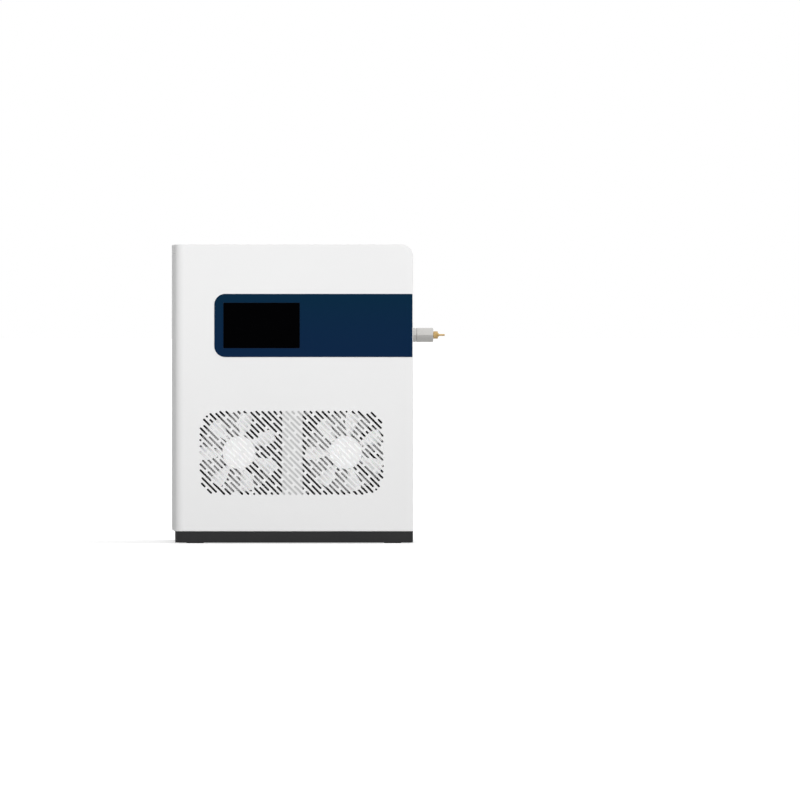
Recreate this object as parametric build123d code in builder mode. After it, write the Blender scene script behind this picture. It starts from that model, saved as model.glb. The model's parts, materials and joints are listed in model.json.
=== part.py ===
"""Benchtop quadrupole mass spectrometer for a gas chromatograph.

A white sheet-metal cabinet on a dark plinth. Two fans blow in through a slotted field in the front
cover, and a navy fascia carries the touch screen. A welded frame inside holds the vacuum chamber with
the ion source, quadrupole and detector, the turbo pump under it and the electronics. The heated
transfer line leaves through the right side, and the left side opens as a hinged service door.

Frame: origin on the floor under the middle of the cabinet, +X to the right as seen from the front,
+Y to the back, +Z up. All sizes are in millimetres.
"""

import os
from math import ceil, radians, sqrt, tan

from build123d import *

os.makedirs("parts", exist_ok=True)

# --- Driving dimensions ---------------------------------------------------------------------------
cabinet_width = 414.0
cabinet_depth = 560.0
cabinet_height = 520.0
sheet = 2.0
foot_height = 3.0
plinth_top = 16.0
cover_depth = 40.0
left_corner_radius = 15.5
top_corner_radius = 21.0
edge_radius = 1.0

left, right = -cabinet_width / 2, cabinet_width / 2
front, back = -cabinet_depth / 2, cabinet_depth / 2
inner_left, inner_right = left + sheet, right - sheet
inner_top = cabinet_height - sheet
cover_rear = front + cover_depth
cover_inner_face = front + sheet

# Fascia and screen
fascia_left, fascia_right = -139.0, 206.0
fascia_bottom, fascia_top = 324.0, 434.0
fascia_thickness = 1.0
fascia_corner_radius = 19.0
screen_width, screen_height = 133.0, 79.0
screen_x, screen_z = -56.7, 379.0
screen_proud = 0.3
display_border = 8.5
display_depth = 16.0

# Slotted field and fans
grille_width, grille_height = 320.0, 147.0
grille_x, grille_z = -3.0, 157.5
grille_corner_radius = 32.0
slot_width = 3.4
slot_length = 35.6
slot_period = 42.3
slot_row_pitch = 7.3
shortest_slot = 5.0
slot_angle = -45.0
slot_shift_x, slot_shift_z = -0.23, -1.85

fan_pitch = 185.6
fan_centres = (grille_x - fan_pitch / 2, grille_x + fan_pitch / 2)
fan_z = 158.0
fan_size = 150.0
fan_depth = 38.0
fan_flange = 4.0
fan_corner_radius = 6.0
fan_bore_radius = 70.0
fan_wall = 2.5
hub_radius = 29.0
blade_tip_radius = 67.5
blade_count = 7
bracket_width, bracket_height = 362.0, 180.0
bracket_front = cover_inner_face + 10.0
fan_front = bracket_front - fan_flange

# Welded frame
frame_bar = 14.0
frame_left = -194.0
hoop_depth = 12.0
rear_hoop_front = back - sheet - hoop_depth
deck_top = 288.0
deck_thickness = 3.0
deck_front = -150.0

# Side door
door_front, door_rear = cover_rear + 2.0, 265.0
door_bottom, door_top = 20.0, 504.0
door_flange = 10.0
hinge_x, hinge_y = -202.0, 263.0
hinge_heights = {"lower": 110.0, "upper": 420.0}
knuckle_radius, knuckle_sides = 3.0, 8
pin_radius = 1.5
pin_clearance = 0.05
knuckle_length = 30.0
knuckle_gap = 0.4

# Vacuum chamber and ion optics
chamber_left, chamber_right = -120.0, 60.0
chamber_front, chamber_rear = -120.0, 150.0
chamber_top = 436.0
chamber_wall = 15.0
chamber_plate_thickness = 12.0
beam_x, beam_z = -40.0, 362.0
source_y = -60.0
pump_x, pump_y = -35.0, 30.0
pump_port_radius = 50.0

# Transfer line
line_radius = 12.5
line_reach = 60.0
line_core_radius = 10.5


def save(piece, name):
    """Label a finished piece and write it to its own STEP file."""
    piece.part.label = name
    export_step(piece.part, f"parts/{name}.step")


def box_between(low, high, mode=Mode.ADD):
    """A box given by its lowest and highest corners."""
    sizes = [b - a for a, b in zip(low, high)]
    middle = [(a + b) / 2 for a, b in zip(low, high)]
    with Locations(tuple(middle)):
        Box(*sizes, mode=mode)


def front_plane(y):
    """A plane that faces the front at depth y, drawn in X to the right and Z up."""
    return Plane.XZ.offset(-y)


def cabinet_outline(inset=0.0, bottom=plinth_top, left_edge=left):
    """The cabinet's outline seen from the front: square, with a large radius at the top right."""
    low_x, high_x = left_edge + inset, right - inset
    low_z, high_z = bottom + inset, cabinet_height - inset
    with BuildSketch(mode=Mode.PRIVATE) as outline:
        with Locations(((low_x + high_x) / 2, (low_z + high_z) / 2)):
            Rectangle(high_x - low_x, high_z - low_z)
        corner = outline.vertices().group_by(Axis.X)[-1].sort_by(Axis.Y)[-1]
        fillet(corner, top_corner_radius - inset)
    return outline.sketch


# --- Feet and plinth ------------------------------------------------------------------------------
foot_inset = 35.0
foot_size, foot_corner = 30.0, 6.0
with BuildPart() as rubber_feet:
    with BuildSketch():
        with GridLocations(cabinet_width - 2 * foot_inset, cabinet_depth - 2 * foot_inset, 2, 2):
            Rectangle(foot_size, foot_size)
        Rectangle(foot_size, foot_size)
        chamfer(vertices(), foot_corner)
    extrude(amount=foot_height)
save(rubber_feet, "rubber_feet")

with BuildPart() as plinth:
    with BuildSketch(Plane.XY.offset(foot_height)):
        Rectangle(cabinet_width, cabinet_depth)
    extrude(amount=plinth_top - foot_height)
    upright_edges = plinth.edges().filter_by(Axis.Z)
    fillet(upright_edges.group_by(Axis.X)[0].sort_by(Axis.Y)[0], left_corner_radius)
    offset(amount=-sheet, openings=plinth.faces().sort_by(Axis.Z)[-1])
save(plinth, "plinth")

# --- Front cover ----------------------------------------------------------------------------------
def grille_slots():
    """Rows of slots at 45 degrees in running bond, cut off at the rounded outline of the field."""
    lattice = Location((grille_x + slot_shift_x, grille_z + slot_shift_z), slot_angle)
    turned_field = Rot(Z=-slot_angle) * Pos(-slot_shift_x, -slot_shift_z) * RectangleRounded(
        grille_width - slot_width,
        grille_height - slot_width,
        grille_corner_radius - slot_width / 2,
        mode=Mode.PRIVATE,
    )
    reach = grille_width + grille_height
    rows = ceil(reach / sqrt(8) / slot_row_pitch)
    places = ceil(reach / 2 / slot_period)
    slots = []
    for row in range(-rows, rows + 1):
        height = row * slot_row_pitch
        chord = turned_field & Edge.make_line((-reach, height), (reach, height))
        if not chord:
            continue
        ends = sorted(end.X for end in chord.vertices())
        for place in range(-places, places + 1):
            middle = (place + 0.5 * (row % 2)) * slot_period
            low = max(ends[0], middle - slot_length / 2)
            high = min(ends[-1], middle + slot_length / 2)
            if high - low >= shortest_slot:
                slot = Rectangle(high - low, slot_width, mode=Mode.PRIVATE)
                slots.append(lattice * Pos((low + high) / 2, height) * slot)
    return slots


stud_radius = 4.0
stud_inset = 8.0
with BuildPart() as front_cover:
    with BuildSketch(front_plane(front)):
        add(cabinet_outline())
    extrude(amount=-cover_depth)
    upright_edges = front_cover.edges().filter_by(Axis.Z)
    fillet(upright_edges.group_by(Axis.X)[0].sort_by(Axis.Y)[0], left_corner_radius)
    offset(amount=-sheet, openings=front_cover.faces().sort_by(Axis.Y)[-1])
    rim = front_cover.faces().filter_by(Axis.Y).sort_by(Axis.Y)[0].outer_wire().edges()
    chamfer(rim.sort_by(Axis.X)[1:], edge_radius)
    with BuildSketch(front_plane(cover_inner_face)):
        with Locations((grille_x, fan_z)):
            with GridLocations(bracket_width - 2 * stud_inset, bracket_height - 2 * stud_inset, 2, 2):
                RegularPolygon(stud_radius, 6)
    extrude(amount=cover_inner_face - bracket_front)
    with BuildSketch(front_plane(front)):
        with Locations((screen_x, screen_z)):
            Rectangle(screen_width, screen_height)
    extrude(amount=-sheet, mode=Mode.SUBTRACT)
    with BuildSketch(front_plane(front)):
        add(grille_slots())
    extrude(amount=-sheet, mode=Mode.SUBTRACT)
save(front_cover, "front_cover")

# --- Fascia and screen ----------------------------------------------------------------------------
fascia_face = front - fascia_thickness
screen_face = fascia_face - screen_proud
with BuildPart() as display_fascia:
    with BuildSketch(front_plane(front)) as fascia_outline:
        with Locations(((fascia_left + fascia_right) / 2, (fascia_bottom + fascia_top) / 2)):
            Rectangle(fascia_right - fascia_left, fascia_top - fascia_bottom)
        fillet(fascia_outline.vertices().group_by(Axis.X)[0], fascia_corner_radius)
        with Locations((screen_x, screen_z)):
            Rectangle(screen_width, screen_height, mode=Mode.SUBTRACT)
    extrude(amount=fascia_thickness)
save(display_fascia, "display_fascia")

with BuildPart() as touch_glass:
    with BuildSketch(front_plane(cover_inner_face)):
        with Locations((screen_x, screen_z)):
            Rectangle(screen_width, screen_height)
    extrude(amount=cover_inner_face - screen_face)
save(touch_glass, "touch_glass")

module_wall = 3.0
with BuildPart() as display_module:
    with BuildSketch(front_plane(cover_inner_face)):
        with Locations((screen_x, screen_z)):
            Rectangle(screen_width + 2 * display_border, screen_height + 2 * display_border)
    extrude(amount=-display_depth)
    with BuildSketch(front_plane(cover_inner_face + display_depth)):
        with Locations((screen_x, screen_z)):
            Rectangle(screen_width, screen_height)
    extrude(amount=display_depth / 2, mode=Mode.SUBTRACT)
    with BuildSketch(front_plane(cover_inner_face + display_depth / 2)):
        with Locations((screen_x, screen_z)):
            with GridLocations(screen_width / 3, screen_height / 2, 3, 2):
                Rectangle(screen_width / 5, screen_height / 5)
    extrude(amount=-module_wall)
save(display_module, "display_module")

# --- Fans -----------------------------------------------------------------------------------------
fan_screw_spacing = fan_size - 14.0
fan_screw_radius = 2.0
screw_head_radius = 3.8
screw_head_height = 1.6
barrel_radius = fan_bore_radius + fan_wall
barrel_sides, bore_sides = 16, 32
barrel_clearance = 0.5

with BuildPart() as fan_bracket:
    with BuildSketch(front_plane(bracket_front)):
        with Locations((grille_x, fan_z)):
            Rectangle(bracket_width, bracket_height)
        with Locations(*[(x, fan_z) for x in fan_centres]):
            RegularPolygon(barrel_radius + barrel_clearance, barrel_sides, major_radius=False,
                           mode=Mode.SUBTRACT)
    extrude(amount=-sheet)
save(fan_bracket, "fan_bracket")

boss_radius = 30.0
boss_thickness = 4.0
strut_width = 7.0
strut_depth = 4.0
fan_shaft_radius = 3.0
shaft_clearance = 0.05
fan_rear = fan_front + fan_depth
boss_front = fan_rear - boss_thickness
for side, fan_x in zip(("left", "right"), fan_centres):
    with BuildPart() as fan_frame:
        with BuildSketch(front_plane(fan_front)):
            with Locations((fan_x, fan_z)):
                RectangleRounded(fan_size, fan_size, fan_corner_radius)
        extrude(amount=-fan_flange)
        with BuildSketch(front_plane(fan_front)):
            with Locations((fan_x, fan_z)):
                RegularPolygon(barrel_radius, barrel_sides, major_radius=False)
        extrude(amount=-fan_depth)
        with BuildSketch(front_plane(fan_front)):
            with Locations((fan_x, fan_z)):
                RegularPolygon(fan_bore_radius, bore_sides, major_radius=False)
        extrude(amount=-fan_depth, mode=Mode.SUBTRACT)
        with BuildSketch(front_plane(fan_rear)):
            with Locations((fan_x, fan_z)):
                RegularPolygon(boss_radius, barrel_sides)
                with PolarLocations((boss_radius + barrel_radius) / 2 - 2, 4, start_angle=45):
                    Rectangle(barrel_radius - boss_radius + 2, strut_width)
        extrude(amount=strut_depth)
        with BuildSketch(front_plane(fan_rear)):
            with Locations((fan_x, fan_z)):
                Circle(fan_shaft_radius + shaft_clearance)
        extrude(amount=strut_depth, mode=Mode.SUBTRACT)
    save(fan_frame, f"fan_frame_{side}")

hub_front = fan_front + 2.0
hub_depth, hub_cap = 30.0, 4.0
hub_edge = 2.0
blade_mid = -16.0
blade_thickness = 1.8
blade_pitch = 32.0
blade_root = hub_radius - 2.0
root_chord, tip_chord = 21.0, 32.0
blade_phase = 178.0


with BuildPart() as fan_blade:
    with BuildSketch(Plane(origin=(0, 0, blade_mid), x_dir=(1, 0, 0), z_dir=(0, 0, 1)).rotated((blade_pitch, 0, 0))):
        with BuildLine():
            Polyline((blade_root, root_chord / 2), (blade_tip_radius, tip_chord / 2),
                     (blade_tip_radius, -tip_chord / 2), (blade_root, -root_chord / 2), close=True)
        make_face()
    extrude(amount=blade_thickness / 2, both=True)

for side, fan_x in zip(("left", "right"), fan_centres):
    rotor_plane = Plane(origin=(fan_x, hub_front, fan_z), x_dir=(1, 0, 0), z_dir=(0, -1, 0))
    with BuildPart(rotor_plane) as fan_rotor:
        with Locations((0, 0, -hub_cap)):
            Cylinder(hub_radius, hub_cap, align=(Align.CENTER, Align.CENTER, Align.MIN))
        chamfer(fan_rotor.edges().group_by(Axis.Y)[0], hub_edge)
        with BuildSketch(rotor_plane.offset(-hub_cap)):
            RegularPolygon(hub_radius - 1, 2 * blade_count, rotation=blade_phase, major_radius=False)
        extrude(amount=-(hub_depth - hub_cap))
        with Locations((0, 0, hub_front - fan_rear)):
            Cylinder(fan_shaft_radius, fan_rear - hub_front - hub_depth,
                     align=(Align.CENTER, Align.CENTER, Align.MIN))
        with PolarLocations(0, blade_count, start_angle=blade_phase):
            add(fan_blade.part)
    save(fan_rotor, f"fan_rotor_{side}")

with BuildPart() as fan_screws:
    with BuildSketch(front_plane(fan_front)):
        with Locations(*[(x, fan_z) for x in fan_centres]):
            with GridLocations(fan_screw_spacing, fan_screw_spacing, 2, 2):
                RegularPolygon(screw_head_radius, 6)
    extrude(amount=screw_head_height)
save(fan_screws, "fan_screws")

# --- Welded frame ---------------------------------------------------------------------------------
tray_floor = foot_height + sheet
hoop_front = cover_rear - hoop_depth
frame_corner_radius = top_corner_radius + 3.0
pump_hole_radius = 64.0
side_sheet = 2.0
rail_top = 480.0


def hoop_outline(inset, left_edge, bottom):
    """A frame hoop's outline; its top right corner is rounder than the cabinet's, to stay clear."""
    low_x, high_x = left_edge + inset, inner_right - inset
    low_z, high_z = bottom + inset, inner_top - inset
    with BuildSketch(mode=Mode.PRIVATE) as outline:
        with Locations(((low_x + high_x) / 2, (low_z + high_z) / 2)):
            Rectangle(high_x - low_x, high_z - low_z)
        corner = outline.vertices().group_by(Axis.X)[-1].sort_by(Axis.Y)[-1]
        fillet(corner, frame_corner_radius - inset)
    return outline.sketch


with BuildPart() as chassis_frame:
    with BuildSketch(front_plane(hoop_front)):
        add(hoop_outline(0, inner_left, plinth_top + sheet))
        add(hoop_outline(frame_bar, inner_left, plinth_top + sheet), mode=Mode.SUBTRACT)
    extrude(amount=-hoop_depth)
    with BuildSketch(front_plane(rear_hoop_front)):
        add(hoop_outline(0, frame_left, tray_floor))
        add(hoop_outline(frame_bar, frame_left, tray_floor), mode=Mode.SUBTRACT)
    extrude(amount=-hoop_depth)
    with BuildSketch(front_plane(cover_rear)):
        with Locations((frame_left + frame_bar / 2, 0), (inner_right - frame_bar / 2, 0)):
            with Locations((0, tray_floor)):
                Rectangle(frame_bar, 2 * frame_bar, align=(Align.CENTER, Align.MIN))
        with Locations((frame_left + frame_bar / 2, inner_top)):
            Rectangle(frame_bar, frame_bar, align=(Align.CENTER, Align.MAX))
        with Locations((inner_right - frame_bar / 2, rail_top)):
            Rectangle(frame_bar, frame_bar, align=(Align.CENTER, Align.MIN))
    extrude(amount=-(rear_hoop_front - cover_rear))
    with BuildSketch(front_plane(deck_front)):
        with Locations((frame_left + frame_bar / 2, tray_floor)):
            Rectangle(frame_bar, inner_top - tray_floor, align=(Align.CENTER, Align.MIN))
        with Locations((inner_right - frame_bar / 2, tray_floor)):
            Rectangle(frame_bar, rail_top - tray_floor, align=(Align.CENTER, Align.MIN))
    extrude(amount=-frame_bar)
    with BuildSketch(Plane.XY.offset(deck_top)):
        with Locations(((frame_left + inner_right) / 2, (deck_front + rear_hoop_front) / 2)):
            Rectangle(inner_right - frame_left, rear_hoop_front - deck_front)
        with Locations((pump_x, pump_y)):
            RegularPolygon(pump_hole_radius, 12, major_radius=False, mode=Mode.SUBTRACT)
    extrude(amount=-deck_thickness)
    with BuildSketch(front_plane(deck_front)):
        with Locations((inner_right - frame_bar, tray_floor)):
            Rectangle(2 * side_sheet, deck_top - tray_floor, align=(Align.CENTER, Align.MIN))
    extrude(amount=-(rear_hoop_front - deck_front))
save(chassis_frame, "chassis_frame")

# --- Top and right shell --------------------------------------------------------------------------
seam = 0.6
shell_front = cover_rear + seam
panel_front = back - sheet
shell_lip = 14.0
line_hole_radius = line_radius + 1.0

with BuildPart() as top_shell:
    with BuildSketch(front_plane(shell_front)):
        add(cabinet_outline())
        with BuildSketch(mode=Mode.SUBTRACT):
            add(cabinet_outline(sheet, bottom=plinth_top - 2 * sheet, left_edge=left))
        with Locations((left, plinth_top)):
            Rectangle(sheet, cabinet_height - plinth_top - shell_lip, align=Align.MIN, mode=Mode.SUBTRACT)
    extrude(amount=-(panel_front - shell_front))
    with BuildSketch(Plane.YZ.offset(inner_right)):
        with Locations((source_y, beam_z)):
            Circle(line_hole_radius)
    extrude(amount=sheet, mode=Mode.SUBTRACT)
save(top_shell, "top_shell")

# --- Service door on the left ---------------------------------------------------------------------
door_inner = inner_left
slot_pull_length, slot_pull_width = 70.0, 14.0
slot_pull_y, slot_pull_z = -221.0, 262.0
flange_rear = hinge_y - 12.0
notch_depth = knuckle_radius + 3.0
notch_margin = 1.5
leaf_thickness = 1.5
door_leaf_length, frame_leaf_length = 28.0, 20.0

with BuildPart() as side_door:
    with BuildSketch(Plane.YZ.offset(left)):
        with Locations(((door_front + door_rear) / 2, (door_bottom + door_top) / 2)):
            Rectangle(door_rear - door_front, door_top - door_bottom)
    extrude(amount=sheet)
    with BuildSketch(Plane.YZ.offset(left)):
        with Locations(((door_front + flange_rear) / 2, (door_bottom + door_top) / 2)):
            Rectangle(flange_rear - door_front, door_top - door_bottom)
        with Locations((door_front + sheet, (door_bottom + door_top) / 2)):
            Rectangle(cabinet_depth, door_top - door_bottom - 2 * sheet, align=(Align.MIN, Align.CENTER),
                      mode=Mode.SUBTRACT)
    extrude(amount=door_flange + sheet)
    with BuildSketch(Plane.YZ.offset(left)):
        with Locations((slot_pull_y, slot_pull_z)):
            SlotOverall(slot_pull_length, slot_pull_width, rotation=90)
        for height in hinge_heights.values():
            with Locations((door_rear, height - knuckle_length / 2)):
                Rectangle(notch_depth, knuckle_length + 2 * notch_margin, align=(Align.MAX, Align.CENTER))
    extrude(amount=sheet, mode=Mode.SUBTRACT)
save(side_door, "side_door")

for level, height in hinge_heights.items():
    with BuildPart() as hinge_fixed:
        with BuildSketch(Plane.XY.offset(height - knuckle_length)):
            with Locations((hinge_x, hinge_y)):
                RegularPolygon(knuckle_radius, knuckle_sides, major_radius=False, rotation=180 / knuckle_sides)
            with Locations((hinge_x, hinge_y + knuckle_radius)):
                Rectangle(frame_leaf_length, leaf_thickness, align=(Align.MIN, Align.MAX))
        extrude(amount=knuckle_length)
        with BuildSketch(Plane.XY.offset(height)):
            with Locations((hinge_x, hinge_y)):
                Circle(pin_radius)
        extrude(amount=knuckle_length)
    save(hinge_fixed, f"hinge_{level}_frame_leaf")

    with BuildPart() as hinge_moving:
        with BuildSketch(Plane.XY.offset(height + knuckle_gap)):
            with Locations((hinge_x, hinge_y)):
                RegularPolygon(knuckle_radius, knuckle_sides, major_radius=False, rotation=180 / knuckle_sides)
            with Locations((hinge_x - knuckle_radius, hinge_y)):
                Rectangle(leaf_thickness, door_leaf_length, align=(Align.MIN, Align.MAX))
            with Locations((hinge_x, hinge_y)):
                Circle(pin_radius + pin_clearance, mode=Mode.SUBTRACT)
        extrude(amount=knuckle_length)
    save(hinge_moving, f"hinge_{level}_door_leaf")

magnet_length, magnet_width, magnet_depth = 30.0, 8.0, 1.7
magnet_heights = (80.0, 440.0)
with BuildPart() as door_magnets:
    with BuildSketch(front_plane(cover_rear)):
        with Locations(*[(inner_left + 1 + magnet_width / 2, z) for z in magnet_heights]):
            Rectangle(magnet_width, magnet_length)
    extrude(amount=-magnet_depth)
save(door_magnets, "door_magnets")

# --- Back panel -----------------------------------------------------------------------------------
panel_flange_front = hinge_y + 8.5
foreline_port_x, foreline_port_z = pump_x, 145.0
port_hole_radius = 8.5
inlet_x, inlet_z = 150.0, 60.0
inlet_body_width, inlet_body_height = 28.0, 24.0
switch_x, switch_z = 105.0, 60.0
switch_width, switch_height = 28.0, 20.0
lan_x, lan_z = 150.0, 150.0
lan_width, lan_height = 16.0, 14.0
remote_x, remote_z = 105.0, 150.0
remote_width, remote_height = 20.0, 10.0
vent_columns, vent_rows = 3, 8
vent_width, vent_height = 90.0, 3.5
vent_spacing_x, vent_spacing_z = 110.0, 15.0
vent_z = 400.0

with BuildPart() as back_panel:
    with BuildSketch(front_plane(back)):
        add(cabinet_outline())
        with Locations((foreline_port_x, foreline_port_z)):
            Circle(port_hole_radius, mode=Mode.SUBTRACT)
        with Locations((inlet_x, inlet_z)):
            Rectangle(inlet_body_width, inlet_body_height, mode=Mode.SUBTRACT)
        with Locations((switch_x, switch_z)):
            Rectangle(switch_width, switch_height, mode=Mode.SUBTRACT)
        with Locations((lan_x, lan_z)):
            Rectangle(lan_width, lan_height, mode=Mode.SUBTRACT)
        with Locations((remote_x, remote_z)):
            Rectangle(remote_width, remote_height, mode=Mode.SUBTRACT)
        with Locations((0, vent_z)):
            with GridLocations(vent_spacing_x, vent_spacing_z, vent_columns, vent_rows):
                Rectangle(vent_width, vent_height, mode=Mode.SUBTRACT)
    extrude(amount=sheet)
    with BuildSketch(Plane.YZ.offset(left)):
        with Locations((panel_flange_front, plinth_top + sheet)):
            Rectangle(panel_front - panel_flange_front, door_top - plinth_top - sheet, align=Align.MIN)
    extrude(amount=sheet)
save(back_panel, "back_panel")

panel_screw_inset = 7.0
with BuildPart() as panel_screws:
    with BuildSketch(front_plane(back)):
        with Locations((frame_left + frame_bar / 2, 0), (inner_right - frame_bar / 2, 0)):
            with Locations(*[(0, z) for z in (40.0, 190.0, 340.0, 480.0)]):
                RegularPolygon(screw_head_radius, 6)
    extrude(amount=-screw_head_height)
save(panel_screws, "panel_screws")

# --- Vacuum chamber -------------------------------------------------------------------------------
chamber_floor = deck_top
chamber_mid_x = (chamber_left + chamber_right) / 2
chamber_mid_y = (chamber_front + chamber_rear) / 2
chamber_mid_z = (chamber_floor + chamber_top) / 2
chamber_length = chamber_rear - chamber_front
chamber_height = chamber_top - chamber_floor
seal_width, seal_depth = 4.0, 3.0
seal_corner = 12.0
chamber_corner = 6.0
lid_bolt_spacing_y, lid_bolt_spacing_z = chamber_length - 14.0, chamber_height - 14.0
line_port_radius = 8.0
gauge_x, gauge_y = -80.0, 100.0
feedthrough_y = 30.0
vent_x, vent_z = -95.0, 312.0

def block_outline(height, length, corner):
    """A rectangle with cut corners, centred on the chamber's open side."""
    with BuildSketch(mode=Mode.PRIVATE) as outline:
        with Locations((chamber_mid_y, chamber_mid_z)):
            Rectangle(length, height)
        chamfer(outline.vertices(), corner)
    return outline.sketch


def seal_ring():
    """The seal's track round the chamber's open side, midway across the wall."""
    mid_length, mid_height = chamber_length - chamber_wall, chamber_height - chamber_wall
    outer = block_outline(mid_height + seal_width, mid_length + seal_width, seal_corner)
    return outer - block_outline(mid_height - seal_width, mid_length - seal_width, seal_corner - 2)


with BuildPart() as vacuum_chamber:
    with BuildSketch(Plane.YZ.offset(chamber_left)):
        add(block_outline(chamber_height, chamber_length, chamber_corner))
    extrude(amount=chamber_right - chamber_left)
    with BuildSketch(Plane.YZ.offset(chamber_left)):
        add(block_outline(chamber_height - 2 * chamber_wall, chamber_length - 2 * chamber_wall,
                          chamber_corner))
    extrude(amount=chamber_right - chamber_left - chamber_wall, mode=Mode.SUBTRACT)
    with BuildSketch(Plane.YZ.offset(chamber_left)):
        add(seal_ring())
    extrude(amount=seal_depth, mode=Mode.SUBTRACT)
    with BuildSketch(Plane.XY.offset(chamber_floor)):
        with Locations((pump_x, pump_y)):
            Circle(pump_port_radius)
    extrude(amount=chamber_wall, mode=Mode.SUBTRACT)
    with BuildSketch(Plane.YZ.offset(chamber_right - chamber_wall)):
        with Locations((source_y, beam_z)):
            Circle(line_port_radius)
    extrude(amount=chamber_wall, mode=Mode.SUBTRACT)
save(vacuum_chamber, "vacuum_chamber")

with BuildPart() as chamber_seal:
    with BuildSketch(Plane.YZ.offset(chamber_left)):
        add(seal_ring())
    extrude(amount=seal_depth)
save(chamber_seal, "chamber_seal")

lid_rib_height, lid_rib_width = 5.0, 6.0
lid_face = chamber_left - chamber_plate_thickness
with BuildPart() as chamber_lid:
    with BuildSketch(Plane.YZ.offset(lid_face)):
        add(block_outline(chamber_height, chamber_length, chamber_corner))
    extrude(amount=chamber_plate_thickness)
    with BuildSketch(Plane.YZ.offset(lid_face)):
        with Locations((chamber_mid_y, chamber_mid_z)):
            with GridLocations(chamber_length / 5, 0, 4, 1):
                Rectangle(lid_rib_width, chamber_height - 2 * chamber_wall)
    extrude(amount=-lid_rib_height)
save(chamber_lid, "chamber_lid")

bolt_radius, bolt_height = 5.0, 6.0
with BuildPart() as lid_bolts:
    with BuildSketch(Plane.YZ.offset(lid_face)):
        with Locations((chamber_mid_y, chamber_mid_z)):
            with GridLocations(lid_bolt_spacing_y / 2, lid_bolt_spacing_z, 3, 2):
                RegularPolygon(bolt_radius, 6)
    extrude(amount=-bolt_height)
save(lid_bolts, "lid_bolts")

# --- Ion optics, carried by the lid ---------------------------------------------------------------
beam_plane_origin = (beam_x, 0, beam_z)
source_radius, source_length = 20.0, 44.0
source_front = source_y - source_length / 2
source_rear = source_front + source_length
collar_size, collar_thickness = 36.0, 10.0
rod_radius, rod_field_radius = 5.0, 4.4
rod_front, rod_rear = -32.0, 92.0
collar_fronts = {"front": -28.0, "rear": 78.0}
arm_height = 24.0


def beam_sketch(y):
    """A plane square to the ion beam at depth y, centred on the beam."""
    return Plane(origin=(beam_x, y, beam_z), x_dir=(1, 0, 0), z_dir=(0, -1, 0))


line_tip_radius = 2.5
source_bore_radius = 9.0
with BuildPart() as ion_source:
    with BuildSketch(beam_sketch(source_front)):
        RegularPolygon(source_radius, 8, major_radius=False, rotation=22.5)
        Circle(source_bore_radius, mode=Mode.SUBTRACT)
    extrude(amount=-source_length)
    with BuildSketch(Plane.YZ.offset(beam_x)):
        with Locations((source_y, beam_z)):
            Circle(line_tip_radius + 0.5)
    extrude(amount=source_radius, mode=Mode.SUBTRACT)
save(ion_source, "ion_source")

repeller_plate, repeller_plate_thickness = 26.0, 4.0
repeller_radius, repeller_length = 7.0, 8.0
with BuildPart() as repeller:
    with BuildSketch(beam_sketch(source_front)):
        Rectangle(repeller_plate, repeller_plate)
        chamfer(vertices(), 5)
    extrude(amount=repeller_plate_thickness)
    with BuildSketch(beam_sketch(source_front)):
        RegularPolygon(repeller_radius, 12)
    extrude(amount=-repeller_length)
save(repeller, "repeller")

for index in range(4):
    with BuildPart() as rod:
        with BuildSketch(beam_sketch(rod_front)):
            with PolarLocations(rod_radius + rod_field_radius, 1, start_angle=90 * index):
                Circle(rod_radius)
        extrude(amount=-(rod_rear - rod_front))
    save(rod, f"quadrupole_rod_{index + 1}")

rod_seat_width = 2 * rod_radius
rod_seat_reach = 2 * (rod_field_radius + 2 * rod_radius)
for end, collar_front in collar_fronts.items():
    with BuildPart() as collar:
        with BuildSketch(beam_sketch(collar_front)):
            Rectangle(collar_size, collar_size)
            chamfer(vertices(), 4)
            Rectangle(rod_seat_reach, rod_seat_width, mode=Mode.SUBTRACT)
            Rectangle(rod_seat_width, rod_seat_reach, mode=Mode.SUBTRACT)
        extrude(amount=-collar_thickness)
    save(collar, f"quadrupole_collar_{end}")

detector_front, detector_rear = 100.0, 130.0
detector_size, detector_tail = 30.0, 12.0
with BuildPart() as detector:
    with BuildSketch(beam_sketch(detector_front)):
        Rectangle(detector_size, detector_size)
    extrude(amount=-6)
    with BuildSketch(Plane.YZ.offset(beam_x - detector_tail)):
        with BuildLine():
            Polyline(
                (detector_front + 6, beam_z - detector_size / 2),
                (detector_rear, beam_z - detector_tail / 2),
                (detector_rear, beam_z + detector_tail / 2),
                (detector_front + 6, beam_z + detector_size / 2),
                close=True,
            )
        make_face()
    extrude(amount=2 * detector_tail)
    with BuildSketch(beam_sketch(detector_front)):
        Rectangle(detector_tail, detector_tail)
    extrude(amount=-6, mode=Mode.SUBTRACT)
save(detector, "detector")

base_thickness = 6.0
with BuildPart() as analyser_bracket:
    with BuildSketch(Plane.YZ.offset(chamber_left)):
        with Locations(((source_front + detector_rear) / 2 - repeller_plate_thickness, beam_z)):
            Rectangle(detector_rear - source_front, arm_height)
        chamfer(vertices(), 4)
    extrude(amount=base_thickness)
    with BuildSketch(Plane.YZ.offset(chamber_left)):
        for collar_front in collar_fronts.values():
            with Locations((collar_front + collar_thickness / 2, beam_z)):
                Rectangle(collar_thickness, arm_height)
    extrude(amount=beam_x - collar_size / 2 - chamber_left)
    with BuildSketch(Plane.YZ.offset(chamber_left)):
        with Locations((source_front - repeller_plate_thickness / 2, beam_z)):
            Rectangle(repeller_plate_thickness, arm_height)
    extrude(amount=beam_x - repeller_plate / 2 - chamber_left)
    with BuildSketch(Plane.YZ.offset(chamber_left)):
        with Locations((detector_front + 3, beam_z)):
            Rectangle(6, arm_height)
    extrude(amount=beam_x - detector_size / 2 - chamber_left)
save(analyser_bracket, "analyser_bracket")

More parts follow.
